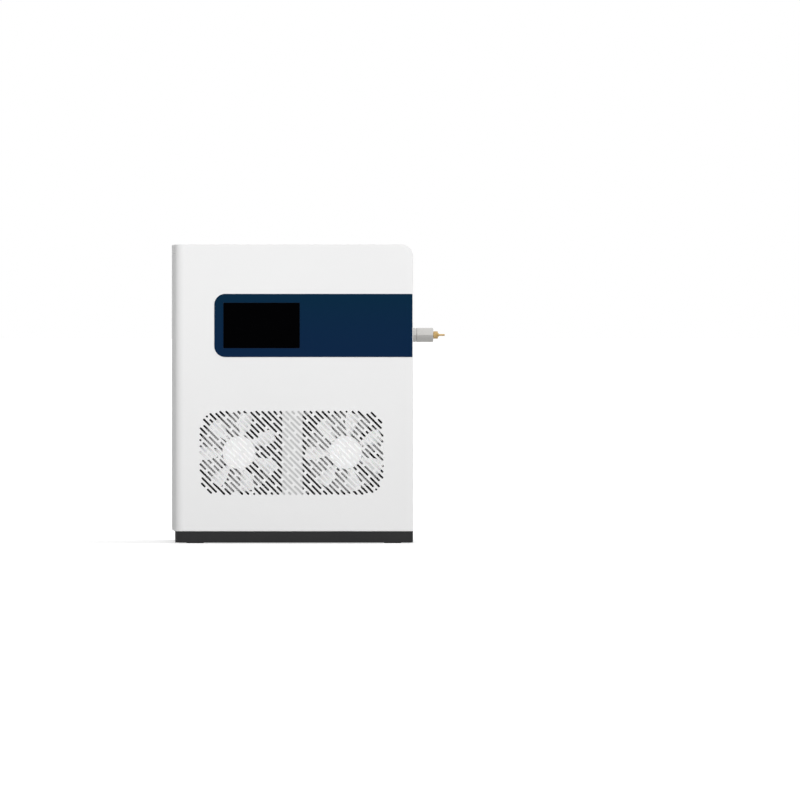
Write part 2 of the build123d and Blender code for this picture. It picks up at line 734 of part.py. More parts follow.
# --- Transfer line --------------------------------------------------------------------------------
line_end = right + 40.0
line_tip_end = right + line_reach
heater_block_length = 40.0
line_axis = Axis((0, source_y, beam_z), (1, 0, 0))
source_side = beam_x + source_radius


def line_sketch(x):
    """A plane square to the transfer line at a distance x along it, centred on the line."""
    return Plane(origin=(x, source_y, beam_z), x_dir=(0, 1, 0), z_dir=(1, 0, 0))


with BuildPart() as transfer_line:
    with BuildSketch(line_sketch(chamber_right)):
        Rectangle(46, 46)
        chamfer(vertices(), 10)
    extrude(amount=10)
    with BuildSketch(line_sketch(chamber_right)):
        Circle(line_core_radius)
    extrude(amount=line_end - chamber_right)
    with BuildSketch(line_sketch(right + 1)):
        Circle(line_radius)
    extrude(amount=line_end - right - 1)
    chamfer(transfer_line.edges().group_by(Axis.X)[-1], 1.5)
    with BuildSketch(line_sketch(beam_x + 12)):
        Circle(line_tip_radius)
    extrude(amount=chamber_right - beam_x - 12)
save(transfer_line, "transfer_line")

nut_radius, nut_length = 6.5, 8.0
column_tube_radius = 1.6
with BuildPart() as transfer_line_nut:
    with BuildSketch(line_sketch(line_end)):
        RegularPolygon(nut_radius, 6)
    extrude(amount=nut_length)
    with BuildSketch(line_sketch(line_end + nut_length)):
        Circle(column_tube_radius)
    extrude(amount=line_tip_end - line_end - nut_length)
save(transfer_line_nut, "transfer_line_nut")

# --- Fittings on the chamber ----------------------------------------------------------------------
gauge_radius, gauge_neck = 17.0, 18.0
gauge_head, gauge_head_height = 38.0, 40.0
with BuildPart() as ion_gauge:
    with BuildSketch(Plane.XY.offset(chamber_top)):
        with Locations((gauge_x, gauge_y)):
            RegularPolygon(gauge_radius, 16)
    extrude(amount=gauge_neck)
    with BuildSketch(Plane.XY.offset(chamber_top + gauge_neck)):
        with Locations((gauge_x, gauge_y)):
            Rectangle(gauge_head, gauge_head)
        chamfer(vertices(), 5)
    extrude(amount=gauge_head_height)
save(ion_gauge, "ion_gauge")

feedthrough_size, feedthrough_thickness = 44.0, 6.0
post_spacing, post_radius, post_height = 18.0, 5.0, 14.0
pin_tip_radius, pin_tip_height = 1.5, 8.0
with BuildPart() as rf_feedthrough:
    with BuildSketch(Plane.XY.offset(chamber_top)):
        with Locations((beam_x, feedthrough_y)):
            Rectangle(feedthrough_size, feedthrough_size)
        chamfer(vertices(), 8)
    extrude(amount=feedthrough_thickness)
    with BuildSketch(Plane.XY.offset(chamber_top + feedthrough_thickness)):
        with Locations((beam_x, feedthrough_y)):
            with GridLocations(post_spacing, 0, 2, 1):
                RegularPolygon(post_radius, 8)
    extrude(amount=post_height)
    with BuildSketch(Plane.XY.offset(chamber_top + feedthrough_thickness + post_height)):
        with Locations((beam_x, feedthrough_y)):
            with GridLocations(post_spacing, 0, 2, 1):
                RegularPolygon(pin_tip_radius, 6)
    extrude(amount=pin_tip_height)
save(rf_feedthrough, "rf_feedthrough")

valve_reach = 10.0
stem_radius = 3.0
stem_clearance = 0.05
with BuildPart() as vent_valve:
    with BuildSketch(front_plane(chamber_front)):
        with Locations((vent_x, vent_z)):
            RegularPolygon(9, 6)
    extrude(amount=valve_reach)
    with BuildSketch(front_plane(chamber_front)):
        with Locations((vent_x, vent_z)):
            Circle(stem_radius + stem_clearance)
    extrude(amount=valve_reach, mode=Mode.SUBTRACT)
save(vent_valve, "vent_valve")

knob_radius, knob_length = 13.0, 14.0
knob_gap = 1.0
knob_sides = 10
knob_rear = chamber_front - valve_reach - knob_gap
with BuildPart() as vent_knob:
    with BuildSketch(front_plane(knob_rear)):
        with Locations((vent_x, vent_z)):
            RegularPolygon(knob_radius, knob_sides)
    extrude(amount=knob_length)
    with BuildSketch(front_plane(knob_rear)):
        with Locations((vent_x, vent_z)):
            Circle(stem_radius)
    extrude(amount=-(valve_reach + knob_gap))
save(vent_knob, "vent_knob")

# --- Turbo pump -----------------------------------------------------------------------------------
pump_flange_radius, pump_flange_thickness = 62.0, 12.0
pump_body_radius, pump_bore_radius = 56.0, 48.0
pump_base_size, pump_base_corner = 92.0, 14.0
pump_body_bottom, pump_base_bottom = 190.0, 122.0
rotor_floor = 200.0
rotor_shaft_radius = 6.0
rotor_shaft_seat = 180.0
with BuildPart() as pump_housing:
    with BuildSketch(Plane.XY.offset(pump_base_bottom)):
        with Locations((pump_x, pump_y)):
            Rectangle(pump_base_size, pump_base_size)
        chamfer(vertices(), pump_base_corner)
    extrude(amount=pump_body_bottom - pump_base_bottom)
    with BuildSketch(Plane.XY.offset(pump_body_bottom)):
        with Locations((pump_x, pump_y)):
            RegularPolygon(pump_body_radius, 16, major_radius=False)
    extrude(amount=deck_top - pump_flange_thickness - pump_body_bottom)
    with BuildSketch(Plane.XY.offset(deck_top)):
        with Locations((pump_x, pump_y)):
            Circle(pump_flange_radius)
    extrude(amount=-pump_flange_thickness)
    with BuildSketch(Plane.XY.offset(deck_top)):
        with Locations((pump_x, pump_y)):
            Circle(pump_bore_radius)
    extrude(amount=rotor_floor - deck_top, mode=Mode.SUBTRACT)
    with BuildSketch(Plane.XY.offset(rotor_floor)):
        with Locations((pump_x, pump_y)):
            Circle(rotor_shaft_radius + shaft_clearance)
    extrude(amount=rotor_shaft_seat - rotor_floor, mode=Mode.SUBTRACT)
save(pump_housing, "pump_housing")

stage_heights = (236.0, 264.0)
stage_hub_radius = 26.0
rotor_blade_count = 14
rotor_blade_pitch = 35.0
rotor_blade_tip = 46.0
rotor_blade_chord, rotor_blade_thickness = 10.0, 1.6
rotor_bottom, rotor_top = 206.0, 276.0
with BuildPart() as pump_blade:
    with BuildSketch(Plane(origin=(stage_hub_radius - 1, 0, 0), x_dir=(0, 1, 0), z_dir=(1, 0, 0))):
        with Locations(Location((0, 0), rotor_blade_pitch)):
            Rectangle(rotor_blade_chord, rotor_blade_thickness)
    extrude(amount=rotor_blade_tip - stage_hub_radius + 1)

with BuildPart() as pump_rotor:
    with BuildSketch(Plane.XY.offset(rotor_shaft_seat + 1)):
        with Locations((pump_x, pump_y)):
            Circle(rotor_shaft_radius)
    extrude(amount=rotor_bottom - rotor_shaft_seat - 1)
    with BuildSketch(Plane.XY.offset(rotor_bottom)):
        with Locations((pump_x, pump_y)):
            RegularPolygon(stage_hub_radius, rotor_blade_count, rotation=180 / rotor_blade_count,
                           major_radius=False)
    extrude(amount=rotor_top - rotor_bottom)
    for height in stage_heights:
        with Locations((pump_x, pump_y, height)):
            with PolarLocations(0, rotor_blade_count):
                add(pump_blade.part)
save(pump_rotor, "pump_rotor")

pipe_outer_radius, pipe_inner_radius = 8.0, 6.0
port_reach = 24.0
port_flange_radius, port_flange_thickness = 15.0, 3.0
pipe_start = pump_y + pump_base_size / 2
pipe_end = back + port_reach
with BuildPart() as foreline_pipe:
    with BuildSketch(front_plane(pipe_start)):
        with Locations((foreline_port_x, foreline_port_z)):
            Circle(pipe_outer_radius)
    extrude(amount=-(pipe_end - pipe_start))
    with BuildSketch(front_plane(pipe_end - port_flange_thickness)):
        with Locations((foreline_port_x, foreline_port_z)):
            Circle(port_flange_radius)
    extrude(amount=-port_flange_thickness)
    with BuildSketch(front_plane(pipe_start)):
        with Locations((foreline_port_x, foreline_port_z)):
            Circle(pipe_inner_radius)
    extrude(amount=-(pipe_end - pipe_start), mode=Mode.SUBTRACT)
save(foreline_pipe, "foreline_pipe")

# --- Electronics ----------------------------------------------------------------------------------
generator_x, generator_y = 130.0, 80.0
generator_width, generator_length, generator_height = 104.0, 140.0, 96.0
cooling_fin_count, cooling_fin_height, cooling_fin_width = 9, 16.0, 3.0
with BuildPart() as rf_generator:
    with BuildSketch(Plane.XY.offset(deck_top)):
        with Locations((generator_x, generator_y)):
            Rectangle(generator_width, generator_length)
        chamfer(vertices(), 4)
    extrude(amount=generator_height)
    with BuildSketch(Plane.XY.offset(deck_top + generator_height)):
        with Locations((generator_x, generator_y)):
            with GridLocations((generator_width - 12) / (cooling_fin_count - 1), 0, cooling_fin_count, 1):
                Rectangle(cooling_fin_width, generator_length - 12)
    extrude(amount=cooling_fin_height)
save(rf_generator, "rf_generator")

board_face = inner_right - frame_bar - side_sheet
board_thickness = 1.6
standoff_length = 6.0
board_y, board_z = -35.0, 150.0
board_length, board_height = 190.0, 220.0
standoff_inset = 6.0
with BuildPart() as board_standoffs:
    with BuildSketch(Plane.YZ.offset(board_face)):
        with Locations((board_y, board_z)):
            with GridLocations(board_length - 2 * standoff_inset, board_height - 2 * standoff_inset, 2, 2):
                RegularPolygon(3, 6)
    extrude(amount=-standoff_length)
save(board_standoffs, "board_standoffs")

component_face = board_face - standoff_length - board_thickness
with BuildPart() as main_board:
    with BuildSketch(Plane.YZ.offset(board_face - standoff_length)):
        with Locations((board_y, board_z)):
            Rectangle(board_length, board_height)
    extrude(amount=-board_thickness)
    with BuildSketch(Plane.YZ.offset(component_face)):
        with Locations((board_y - 35, board_z + 30)):
            Rectangle(36, 36)
        with Locations((board_y + 30, board_z + 40)):
            with GridLocations(22, 26, 3, 2):
                Rectangle(14, 18)
    extrude(amount=-3)
    with BuildSketch(Plane.YZ.offset(component_face)):
        with Locations((board_y, board_z - 90)):
            with GridLocations(44, 0, 4, 1):
                Rectangle(30, 10)
        with Locations((board_y - 20, board_z - 40)):
            with GridLocations(24, 24, 3, 2):
                RegularPolygon(7, 8)
    extrude(amount=-14)
save(main_board, "main_board")

supply_x, supply_y = 125.0, 180.0
supply_width, supply_length, supply_height = 110.0, 130.0, 42.0
supply_vent_width, supply_vent_length = 4.0, 36.0
with BuildPart() as power_supply:
    with BuildSketch(Plane.XY.offset(tray_floor)):
        with Locations((supply_x, supply_y)):
            Rectangle(supply_width, supply_length)
    extrude(amount=supply_height)
    with BuildSketch(Plane.XY.offset(tray_floor + supply_height)):
        with Locations((supply_x, supply_y)):
            with GridLocations(10, supply_vent_length + 14, 9, 2):
                Rectangle(supply_vent_width, supply_vent_length)
    extrude(amount=-2, mode=Mode.SUBTRACT)
save(power_supply, "power_supply")

controller_x, controller_y = -140.0, 150.0
controller_width, controller_length, controller_height = 70.0, 150.0, 60.0
with BuildPart() as pump_controller:
    with BuildSketch(Plane.XY.offset(tray_floor)):
        with Locations((controller_x, controller_y)):
            Rectangle(controller_width, controller_length)
        chamfer(vertices(), 4)
    extrude(amount=controller_height)
    with BuildSketch(Plane.XY.offset(tray_floor + controller_height)):
        with Locations((controller_x, controller_y)):
            with GridLocations(9, 0, 7, 1):
                Rectangle(cooling_fin_width, controller_length - 12)
    extrude(amount=8)
save(pump_controller, "pump_controller")

# --- Sockets and switch on the back ---------------------------------------------------------------
inlet_flange_width, inlet_flange_height, inlet_flange_thickness = 50.0, 28.0, 3.0
inlet_mouth_width, inlet_mouth_height, inlet_depth = 24.0, 16.0, 17.0
inlet_corner = 4.0
pin_width, pin_thickness, pin_length = 2.0, 4.0, 11.0
inlet_face = back + inlet_flange_thickness
inlet_floor = inlet_face - inlet_depth


def inlet_mouth():
    """The socket's opening: a rectangle with its two upper corners cut off."""
    with BuildSketch(mode=Mode.PRIVATE) as mouth:
        with Locations((inlet_x, inlet_z)):
            Rectangle(inlet_mouth_width, inlet_mouth_height)
        chamfer(mouth.vertices().group_by(Axis.Y)[-1], inlet_corner)
    return mouth.sketch


with BuildPart() as mains_inlet:
    with BuildSketch(front_plane(back)):
        with Locations((inlet_x, inlet_z)):
            RectangleRounded(inlet_flange_width, inlet_flange_height, 4)
    extrude(amount=-inlet_flange_thickness)
    with BuildSketch(front_plane(back)):
        with Locations((inlet_x, inlet_z)):
            Rectangle(inlet_body_width, inlet_body_height)
    extrude(amount=inlet_depth + 4)
    with BuildSketch(front_plane(inlet_face)):
        add(inlet_mouth())
    extrude(amount=inlet_depth, mode=Mode.SUBTRACT)
    with BuildSketch(front_plane(inlet_floor)):
        with Locations((inlet_x - 7, inlet_z - 2), (inlet_x, inlet_z + 2), (inlet_x + 7, inlet_z - 2)):
            Rectangle(pin_width, pin_thickness)
    extrude(amount=-pin_length)
save(mains_inlet, "mains_inlet")

bezel_margin, bezel_thickness = 2.5, 2.0
switch_wall = 2.0
switch_depth = 16.0
rocker_half_height = 6.4
rocker_pivot_y = back - 4.0
rocker_rise = 8.0
rocker_tilt = 9.0
rocker_axle_radius = 1.5
rocker_side_gap = 0.4
switch_mouth_width = switch_width - 2 * switch_wall
switch_mouth_height = switch_height - 2 * switch_wall

with BuildPart() as switch_bezel:
    with BuildSketch(front_plane(back)):
        with Locations((switch_x, switch_z)):
            RectangleRounded(switch_width + 2 * bezel_margin, switch_height + 2 * bezel_margin, 2)
    extrude(amount=-bezel_thickness)
    with BuildSketch(front_plane(back)):
        with Locations((switch_x, switch_z)):
            Rectangle(switch_width, switch_height)
    extrude(amount=switch_depth)
    with BuildSketch(front_plane(back + bezel_thickness)):
        with Locations((switch_x, switch_z)):
            Rectangle(switch_mouth_width, switch_mouth_height)
    extrude(amount=switch_depth, mode=Mode.SUBTRACT)
    with BuildSketch(Plane.YZ.offset(switch_x - switch_mouth_width / 2 - 1)):
        with Locations((rocker_pivot_y, switch_z)):
            Circle(rocker_axle_radius + shaft_clearance)
    extrude(amount=switch_mouth_width + 2, mode=Mode.SUBTRACT)
save(switch_bezel, "switch_bezel")

with BuildPart() as switch_rocker:
    with BuildSketch(Plane.YZ.offset(switch_x - switch_mouth_width / 2 + rocker_side_gap)):
        with Locations(Location((rocker_pivot_y, switch_z), rocker_tilt)):
            Polygon(
                (-4, -2),
                (2, -rocker_half_height),
                (rocker_rise, -rocker_half_height),
                (rocker_rise - 1.6, 0),
                (rocker_rise, rocker_half_height),
                (2, rocker_half_height),
                (-4, 2),
                align=None,
            )
    extrude(amount=switch_mouth_width - 2 * rocker_side_gap)
    with BuildSketch(Plane.YZ.offset(switch_x - switch_mouth_width / 2 - 1)):
        with Locations((rocker_pivot_y, switch_z)):
            Circle(rocker_axle_radius)
    extrude(amount=switch_mouth_width + 2)
save(switch_rocker, "switch_rocker")

lan_mouth_width, lan_mouth_height, lan_mouth_depth = 12.0, 8.0, 13.0
lan_proud = 1.0
with BuildPart() as lan_port:
    with BuildSketch(front_plane(back + lan_proud)):
        with Locations((lan_x, lan_z)):
            Rectangle(lan_width, lan_height)
    extrude(amount=20)
    with BuildSketch(front_plane(back + lan_proud)):
        with Locations((lan_x, lan_z)):
            Rectangle(lan_mouth_width, lan_mouth_height)
        with Locations((lan_x, lan_z + lan_mouth_height / 2)):
            Rectangle(6, 2, align=(Align.CENTER, Align.MIN))
    extrude(amount=lan_mouth_depth, mode=Mode.SUBTRACT)
save(lan_port, "lan_port")

with BuildPart() as remote_port:
    with BuildSketch(front_plane(back)):
        with Locations((remote_x, remote_z)):
            Rectangle(31, 12.5)
        chamfer(vertices(), 2)
    extrude(amount=-1)
    with BuildSketch(front_plane(back)):
        with Locations((remote_x, remote_z)):
            Trapezoid(17, 8.4, 80, rotation=180)
    extrude(amount=-6)
    with BuildSketch(front_plane(back)):
        with Locations((remote_x, remote_z)):
            Rectangle(remote_width, remote_height)
    extrude(amount=10)
save(remote_port, "remote_port")
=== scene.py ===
"""The looks of a benchtop mass spectrometer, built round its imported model.

Laid out as an add-on: property groups hold the sizes and colours, one operator makes each group of
pieces, and main() runs them in order. Shapes are worked out in millimetres, in the model's own frame:
+X right, +Y to the back, +Z up.
"""

import json
import math

import bmesh
import bpy
from mathutils import Matrix, Vector


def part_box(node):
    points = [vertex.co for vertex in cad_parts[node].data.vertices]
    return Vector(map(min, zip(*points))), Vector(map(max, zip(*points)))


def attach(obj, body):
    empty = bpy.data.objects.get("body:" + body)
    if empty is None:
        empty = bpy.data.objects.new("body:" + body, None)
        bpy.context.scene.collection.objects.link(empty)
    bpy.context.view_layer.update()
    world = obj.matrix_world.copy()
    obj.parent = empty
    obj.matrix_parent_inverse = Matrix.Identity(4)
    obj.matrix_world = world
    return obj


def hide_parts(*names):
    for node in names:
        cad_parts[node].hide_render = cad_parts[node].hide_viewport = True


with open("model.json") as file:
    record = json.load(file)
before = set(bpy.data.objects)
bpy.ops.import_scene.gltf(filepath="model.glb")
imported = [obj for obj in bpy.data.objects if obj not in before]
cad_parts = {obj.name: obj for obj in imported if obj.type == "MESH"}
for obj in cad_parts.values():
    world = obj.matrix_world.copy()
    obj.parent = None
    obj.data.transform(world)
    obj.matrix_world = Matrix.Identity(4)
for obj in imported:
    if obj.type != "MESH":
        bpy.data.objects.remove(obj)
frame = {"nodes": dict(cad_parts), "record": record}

bl_info = {
    "name": "Mass spectrometer looks",
    "version": (1, 0, 0),
    "blender": (4, 5, 0),
    "location": "3D View > Sidebar > Spectrometer",
    "description": "Builds the finished outside and inside of a benchtop mass spectrometer",
    "category": "Object",
}

MM = 0.001
X, Y, Z = range(3)
LEFT, RIGHT = (-1, 0, 0), (1, 0, 0)
FRONT, BACK = (0, -1, 0), (0, 1, 0)
UP = (0, 0, 1)
SIDES = (-1, 1)
CORNERS = [(one, other) for one in SIDES for other in SIDES]
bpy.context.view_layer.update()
EYE = Vector((-0.62, -40.28, 0.45))
AIM = Vector((0.1843, -0.28, 0.2493))
VIEW_WIDTH = 1.392


def length(name, description, default):
    """A size in metres that a user can change."""
    return bpy.props.FloatProperty(
        name=name, description=description, default=default, min=0.0, unit="LENGTH", precision=5
    )


def shade(name, description, default):
    """A colour that a user can change."""
    return bpy.props.FloatVectorProperty(
        name=name, description=description, default=(*default, 1.0), size=4, min=0.0, max=1.0,
        subtype="COLOR"
    )


# --- Sizes and colours ----------------------------------------------------------------------------


class CabinetSizes(bpy.types.PropertyGroup):
    """The sheet-metal cabinet."""

    sheet: length("Sheet", "Thickness of the cabinet's sheet metal", 0.002)
    top_corner: length("Top corner", "Radius of the top right corner, seen from the front", 0.021)
    left_corner: length("Left corner", "Radius of the upright left edge of the front", 0.0155)
    rim: length("Rim", "Radius of the pressed edge round the front", 0.001)
    fold: length("Fold", "Radius of the folds of the door, the shell's lip and the plinth", 0.0012)
    lip: length("Lip", "Height of the shell's lip over the door", 0.0152)
    fascia_corner: length("Fascia corner", "Radius of the fascia's two left corners", 0.019)
    skirt: length("Skirt", "How far the plinth's rim hangs below its floor, round the feet", 0.0018)
    upstand: length("Upstand", "How far the plinth's front stands up in front of its tray", 0.0048)
    side_gap: length("Side gap", "How far the plinth's left side stands back behind its front", 0.007)
    line_hole: length("Line hole", "Radius of the hole for the transfer line", 0.0135)


class GrilleSizes(bpy.types.PropertyGroup):
    """The slotted field in front of the fans."""

    centre: bpy.props.FloatVectorProperty(
        name="Centre", description="Middle of the field, to the right and up", size=2,
        default=(-0.0045, 0.1573), unit="LENGTH", precision=5
    )
    shift: bpy.props.FloatVectorProperty(
        name="Shift", description="From the field's middle to a slot's middle", default=(0.00012, -0.00035),
        size=2, unit="LENGTH", precision=5
    )
    width: length("Width", "Width of the slotted field", 0.319)
    height: length("Height", "Height of the slotted field", 0.1455)
    corner: length("Corner", "Radius of the field's corners", 0.032)
    slot_width: length("Slot width", "Width of one slot", 0.0035)
    slot_length: length("Slot length", "Length of a whole slot", 0.0369)
    slot_period: length("Slot period", "Distance between slots along a row", 0.0414)
    row_pitch: length("Row pitch", "Distance between rows", 0.0074)
    shortest: length("Shortest slot", "Slots cut off shorter than this are left out", 0.0025)
    slope: bpy.props.FloatProperty(
        name="Slope", description="Direction of the rows, downwards to the right",
        default=math.radians(-45), subtype="ANGLE"
    )


class FanSizes(bpy.types.PropertyGroup):
    """The two axial fans behind the slotted field."""

    size: length("Frame size", "Width and height of the square frame", 0.15)
    corner: length("Frame corner", "Radius of the frame's corners", 0.006)
    bore: length("Bore", "Radius of the air duct", 0.07)
    hub: length("Hub", "Radius of the rotor's hub", 0.0295)
    tip: length("Blade tip", "Radius of the blade tips", 0.069)
    root_chord: length("Root chord", "Width of a blade at the hub", 0.010)
    tip_chord: length("Tip chord", "Width of a blade at its tip", 0.027)
    blade: length("Blade thickness", "Thickness of a blade", 0.0018)
    blades: bpy.props.IntProperty(name="Blades", description="Number of blades", default=7, min=3)
    pitch: bpy.props.FloatProperty(
        name="Pitch", description="Angle of the blades to the fan's plane", default=math.radians(32),
        subtype="ANGLE"
    )
    phase: bpy.props.FloatProperty(
        name="Phase", description="Where the first blade stands", default=math.radians(181), subtype="ANGLE"
    )


class FinishColours(bpy.types.PropertyGroup):
    """Colours of the paints, films, plastics and metals."""

    white_paint: shade("White paint", "Powder coat of the cabinet", (0.86, 0.86, 0.86))
    plinth_paint: shade("Plinth paint", "Paint of the plinth", (0.029, 0.029, 0.03))
    black_rubber: shade("Rubber", "Feet and seals", (0.022, 0.022, 0.022))
    navy_fascia: shade("Navy film", "Printed film of the fascia", (0.003, 0.0168, 0.052))
    fascia_top: shade("Upper navy film", "Fascia towards its upper edge", (0.0019, 0.0195, 0.045))
    screen_glass: shade("Screen glass", "Cover glass of the screen", (0.0006, 0.0006, 0.0009))
    module_plastic: shade("Module plastic", "Case of the display", (0.05, 0.05, 0.055))
    bracket_paint: shade("Bracket paint", "Plate between the fans", (0.6, 0.6, 0.6))
    fan_black: shade("Fan black", "Frames of the fans", (0.012, 0.012, 0.013))
    fan_white: shade("Fan white", "Rotors of the fans", (0.98, 0.98, 0.98))
    frame_steel: shade("Frame zinc", "Galvanised surface of the welded frame", (0.42, 0.43, 0.44))
    screw_steel: shade("Screw steel", "Screws, bolts and magnets", (0.4, 0.4, 0.41))
    hinge_steel: shade("Hinge steel", "Hinge leaves and knuckles", (0.56, 0.56, 0.57))
    machined_aluminium: shade("Machined aluminium", "Vacuum chamber and lid", (0.77, 0.77, 0.78))
    stainless: shade("Stainless steel", "Vacuum fittings and transfer line", (0.64, 0.63, 0.61))
    brass_fittings: shade("Brass", "Nuts and valve", (0.72, 0.49, 0.2))
    white_ceramic: shade("Ceramic", "Quadrupole collars", (0.88, 0.86, 0.81))
    pump_aluminium: shade("Pump aluminium", "Turbo pump", (0.6, 0.61, 0.63))
    gauge_case: shade("Gauge case", "Ion gauge and remote socket", (0.5, 0.5, 0.52))
    case_steel: shade("Case metal", "Cases of the electronics", (0.55, 0.56, 0.58))
    circuit_board: shade("Solder mask", "Main board", (0.012, 0.1, 0.04))
    black_plastic: shade("Black plastic", "Sockets, switch and knob", (0.016, 0.016, 0.017))


# --- Shader maths ---------------------------------------------------------------------------------


class Wire:
    """A node's output, which plain arithmetic joins through Math nodes."""

    def __init__(self, finish, socket):
        self.finish = finish
        self.socket = socket

    def maths(self, operation, *values):
        return self.finish.node("ShaderNodeMath", {"operation": operation}, dict(enumerate(values)))

    def __add__(self, other):
        return self.maths("ADD", self, other)

    def __sub__(self, other):
        return self.maths("SUBTRACT", self, other)

    def __rsub__(self, other):
        return self.maths("SUBTRACT", other, self)

    def __mul__(self, other):
        return self.maths("MULTIPLY", self, other)

    def __pow__(self, other):
        return self.maths("POWER", self, other)

    def at_least(self, level):
        return self.maths("MAXIMUM", self, level)

    __radd__ = __add__
    __rmul__ = __mul__


class Finish:
    """A material being made: one Principled shader and the nodes that feed it."""

    def __init__(self, tree, constants=None):
        self.tree = tree
        self.tree.nodes.clear()
        if constants is not None:
            self.shader = self.node("ShaderNodeBsdfPrincipled", values=constants).socket.node
            surface = Wire(self, self.shader.outputs[0])
            self.node("ShaderNodeOutputMaterial", values={"Surface": surface}, output=None)

    def node(self, kind, settings=None, values=None, output=0):
        """Adds a node, sets it up, then fills or links its sockets."""
        made = self.tree.nodes.new(kind)
        for key, setting in (settings or {}).items():
            if key == "stops":
                ramp = made.color_ramp.elements
                while len(ramp) < len(setting):
                    ramp.new(1.0)
                for stop, (position, grey) in zip(ramp, setting):
                    stop.position = position
                    stop.color = (grey, grey, grey, 1.0)
            else:
                setattr(made, key, setting)
        for key, value in (values or {}).items():
            if isinstance(value, Wire):
                self.tree.links.new(value.socket, made.inputs[key])
            else:
                made.inputs[key].default_value = value
        return None if output is None else Wire(self, made.outputs[output])

    def wires(self, kind, *outputs, values=None):
        """Several outputs of one new node."""
        made = self.node(kind, values=values).socket.node
        return [Wire(self, made.outputs[name]) for name in outputs]

    def feed(self, name, wire):
        self.tree.links.new(wire.socket, self.shader.inputs[name])

    def place(self, scale=(1, 1, 1), turn=(0, 0, 0), shift=(0, 0, 0)):
        """Object coordinates, stretched or turned."""
        here = self.node("ShaderNodeTexCoord", output="Object")
        values = {"Vector": here, "Scale": scale, "Rotation": turn, "Location": shift}
        return self.node("ShaderNodeMapping", values=values)

    def noise(self, place, scale, detail=2.0, roughness=0.5, distortion=0.0):
        values = {"Vector": place, "Scale": scale, "Detail": detail, "Roughness": roughness,
                  "Distortion": distortion}
        return self.node("ShaderNodeTexNoise", values=values)

    def cells(self, place, scale, output="Distance"):
        return self.node("ShaderNodeTexVoronoi", None, {"Vector": place, "Scale": scale}, output)

    def ramp(self, factor, *stops):
        return self.node("ShaderNodeValToRGB", {"stops": stops}, {"Fac": factor})

    def mix(self, factor, one, other):
        values = {"Factor": factor, 6: one, 7: other}
        return self.node("ShaderNodeMix", {"data_type": "RGBA"}, values, 2)

    def tint(self, factor, colour, amount):
        """The colour, darker and lighter by a share of itself as the factor runs from 0 to 1."""
        dark = [channel * (1 - amount) for channel in colour[:3]]
        light = [min(1.0, channel * (1 + amount)) for channel in colour[:3]]
        return self.mix(factor, (*dark, 1.0), (*light, 1.0))

    def bump(self, height, depth, strength=1.0):
        values = {"Height": height, "Distance": depth, "Strength": strength}
        return self.node("ShaderNodeBump", values=values)


def powder_coat(made, colour):
    """Fine orange peel with a faint cloudiness and a little dust in its gloss."""
    place = made.place()
    peel = made.noise(place, 850, 3)
    cloud = made.noise(place, 9, 3)
    fleck = made.noise(place, 2600, 1)
    made.feed("Base Color", made.tint(cloud * 0.7 + fleck * 0.3, colour, 0.022))
    made.feed("Roughness", 0.35 + peel * 0.08 + cloud * 0.06)
    made.feed("Normal", made.bump(peel, 0.00003, 0.6))


def textured_paint(made, colour):
    """Structured paint: coarser grain and lighter wear flecks."""
    place = made.place()
    grain = made.noise(place, 1500, 4, 0.7)
    cloud = made.noise(place, 14, 3)
    made.feed("Base Color", made.tint(grain * 0.6 + cloud * 0.4, colour, 0.22))
    made.feed("Roughness", 0.48 + grain * 0.16)
    made.feed("Normal", made.bump(grain, 0.00006, 0.7))


def rubber(made, colour):
    """Moulded rubber with a dull bloom and fine pits."""
    place = made.place()
    bloom = made.noise(place, 60, 4)
    pits = made.noise(place, 2200, 2)
    made.feed("Base Color", made.tint(bloom, colour, 0.35))
    made.feed("Roughness", 0.72 + bloom * 0.16)
    made.feed("Normal", made.bump(pits, 0.00006, 0.6))


def navy_film(made, colour):
    """Printed polyester film: navy, a little greener towards its upper edge, with a fine velvet grain."""
    low, high = node_box("display_fascia")
    top_colour = tuple(bpy.context.scene.spectrometer_colours.fascia_top)
    place = made.place()
    height = made.node("ShaderNodeSeparateXYZ", values={"Vector": place}, output="Z")
    rise = made.node("ShaderNodeMapRange", values={"Value": height, 1: low.z * MM, 2: high.z * MM})
    grain = made.noise(place, 3200, 2)
    cloud = made.noise(place, 12, 2)
    body = made.mix(rise ** 2.0, tuple(colour), top_colour)
    made.feed("Base Color", made.mix(grain * 0.06, body, (0.02, 0.05, 0.1, 1.0)))
    made.feed("Roughness", 0.36 + grain * 0.08 + cloud * 0.05)
    made.feed("Normal", made.bump(grain, 0.00001, 0.5))


def cover_glass(made, colour):
    """Black printed glass with an optical coating and faint wipe marks."""
    place = made.place(scale=(1, 1, 3), turn=(0, 0.5, 0))
    wipe = made.noise(place, 30, 5, 0.6, 0.8)
    haze = made.noise(made.place(), 420, 2)
    made.feed("Base Color", made.tint(wipe, colour, 0.3))
    made.feed("Roughness", 0.05 + wipe * 0.07 + haze * 0.02)


def moulded_plastic(made, colour):
    """Spark-eroded mould grain."""
    place = made.place()
    grain = made.noise(place, 1900, 3, 0.6)
    flow = made.noise(place, 24, 3, 0.5, 0.6)
    made.feed("Base Color", made.tint(grain * 0.5 + flow * 0.5, colour, 0.16))
    made.feed("Roughness", 0.44 + grain * 0.1 + flow * 0.06)
    made.feed("Normal", made.bump(grain, 0.00003, 0.6))


def white_plastic(made, colour):
    """White polymer of the fan rotors, smooth, with faint flow lines."""
    place = made.place()
    flow = made.noise(place, 38, 4, 0.5, 1.2)
    grain = made.noise(place, 1400, 2)
    made.feed("Base Color", made.tint(flow, colour, 0.015))
    made.feed("Roughness", 0.34 + flow * 0.08 + grain * 0.05)
    made.feed("Normal", made.bump(grain, 0.00001, 0.5))


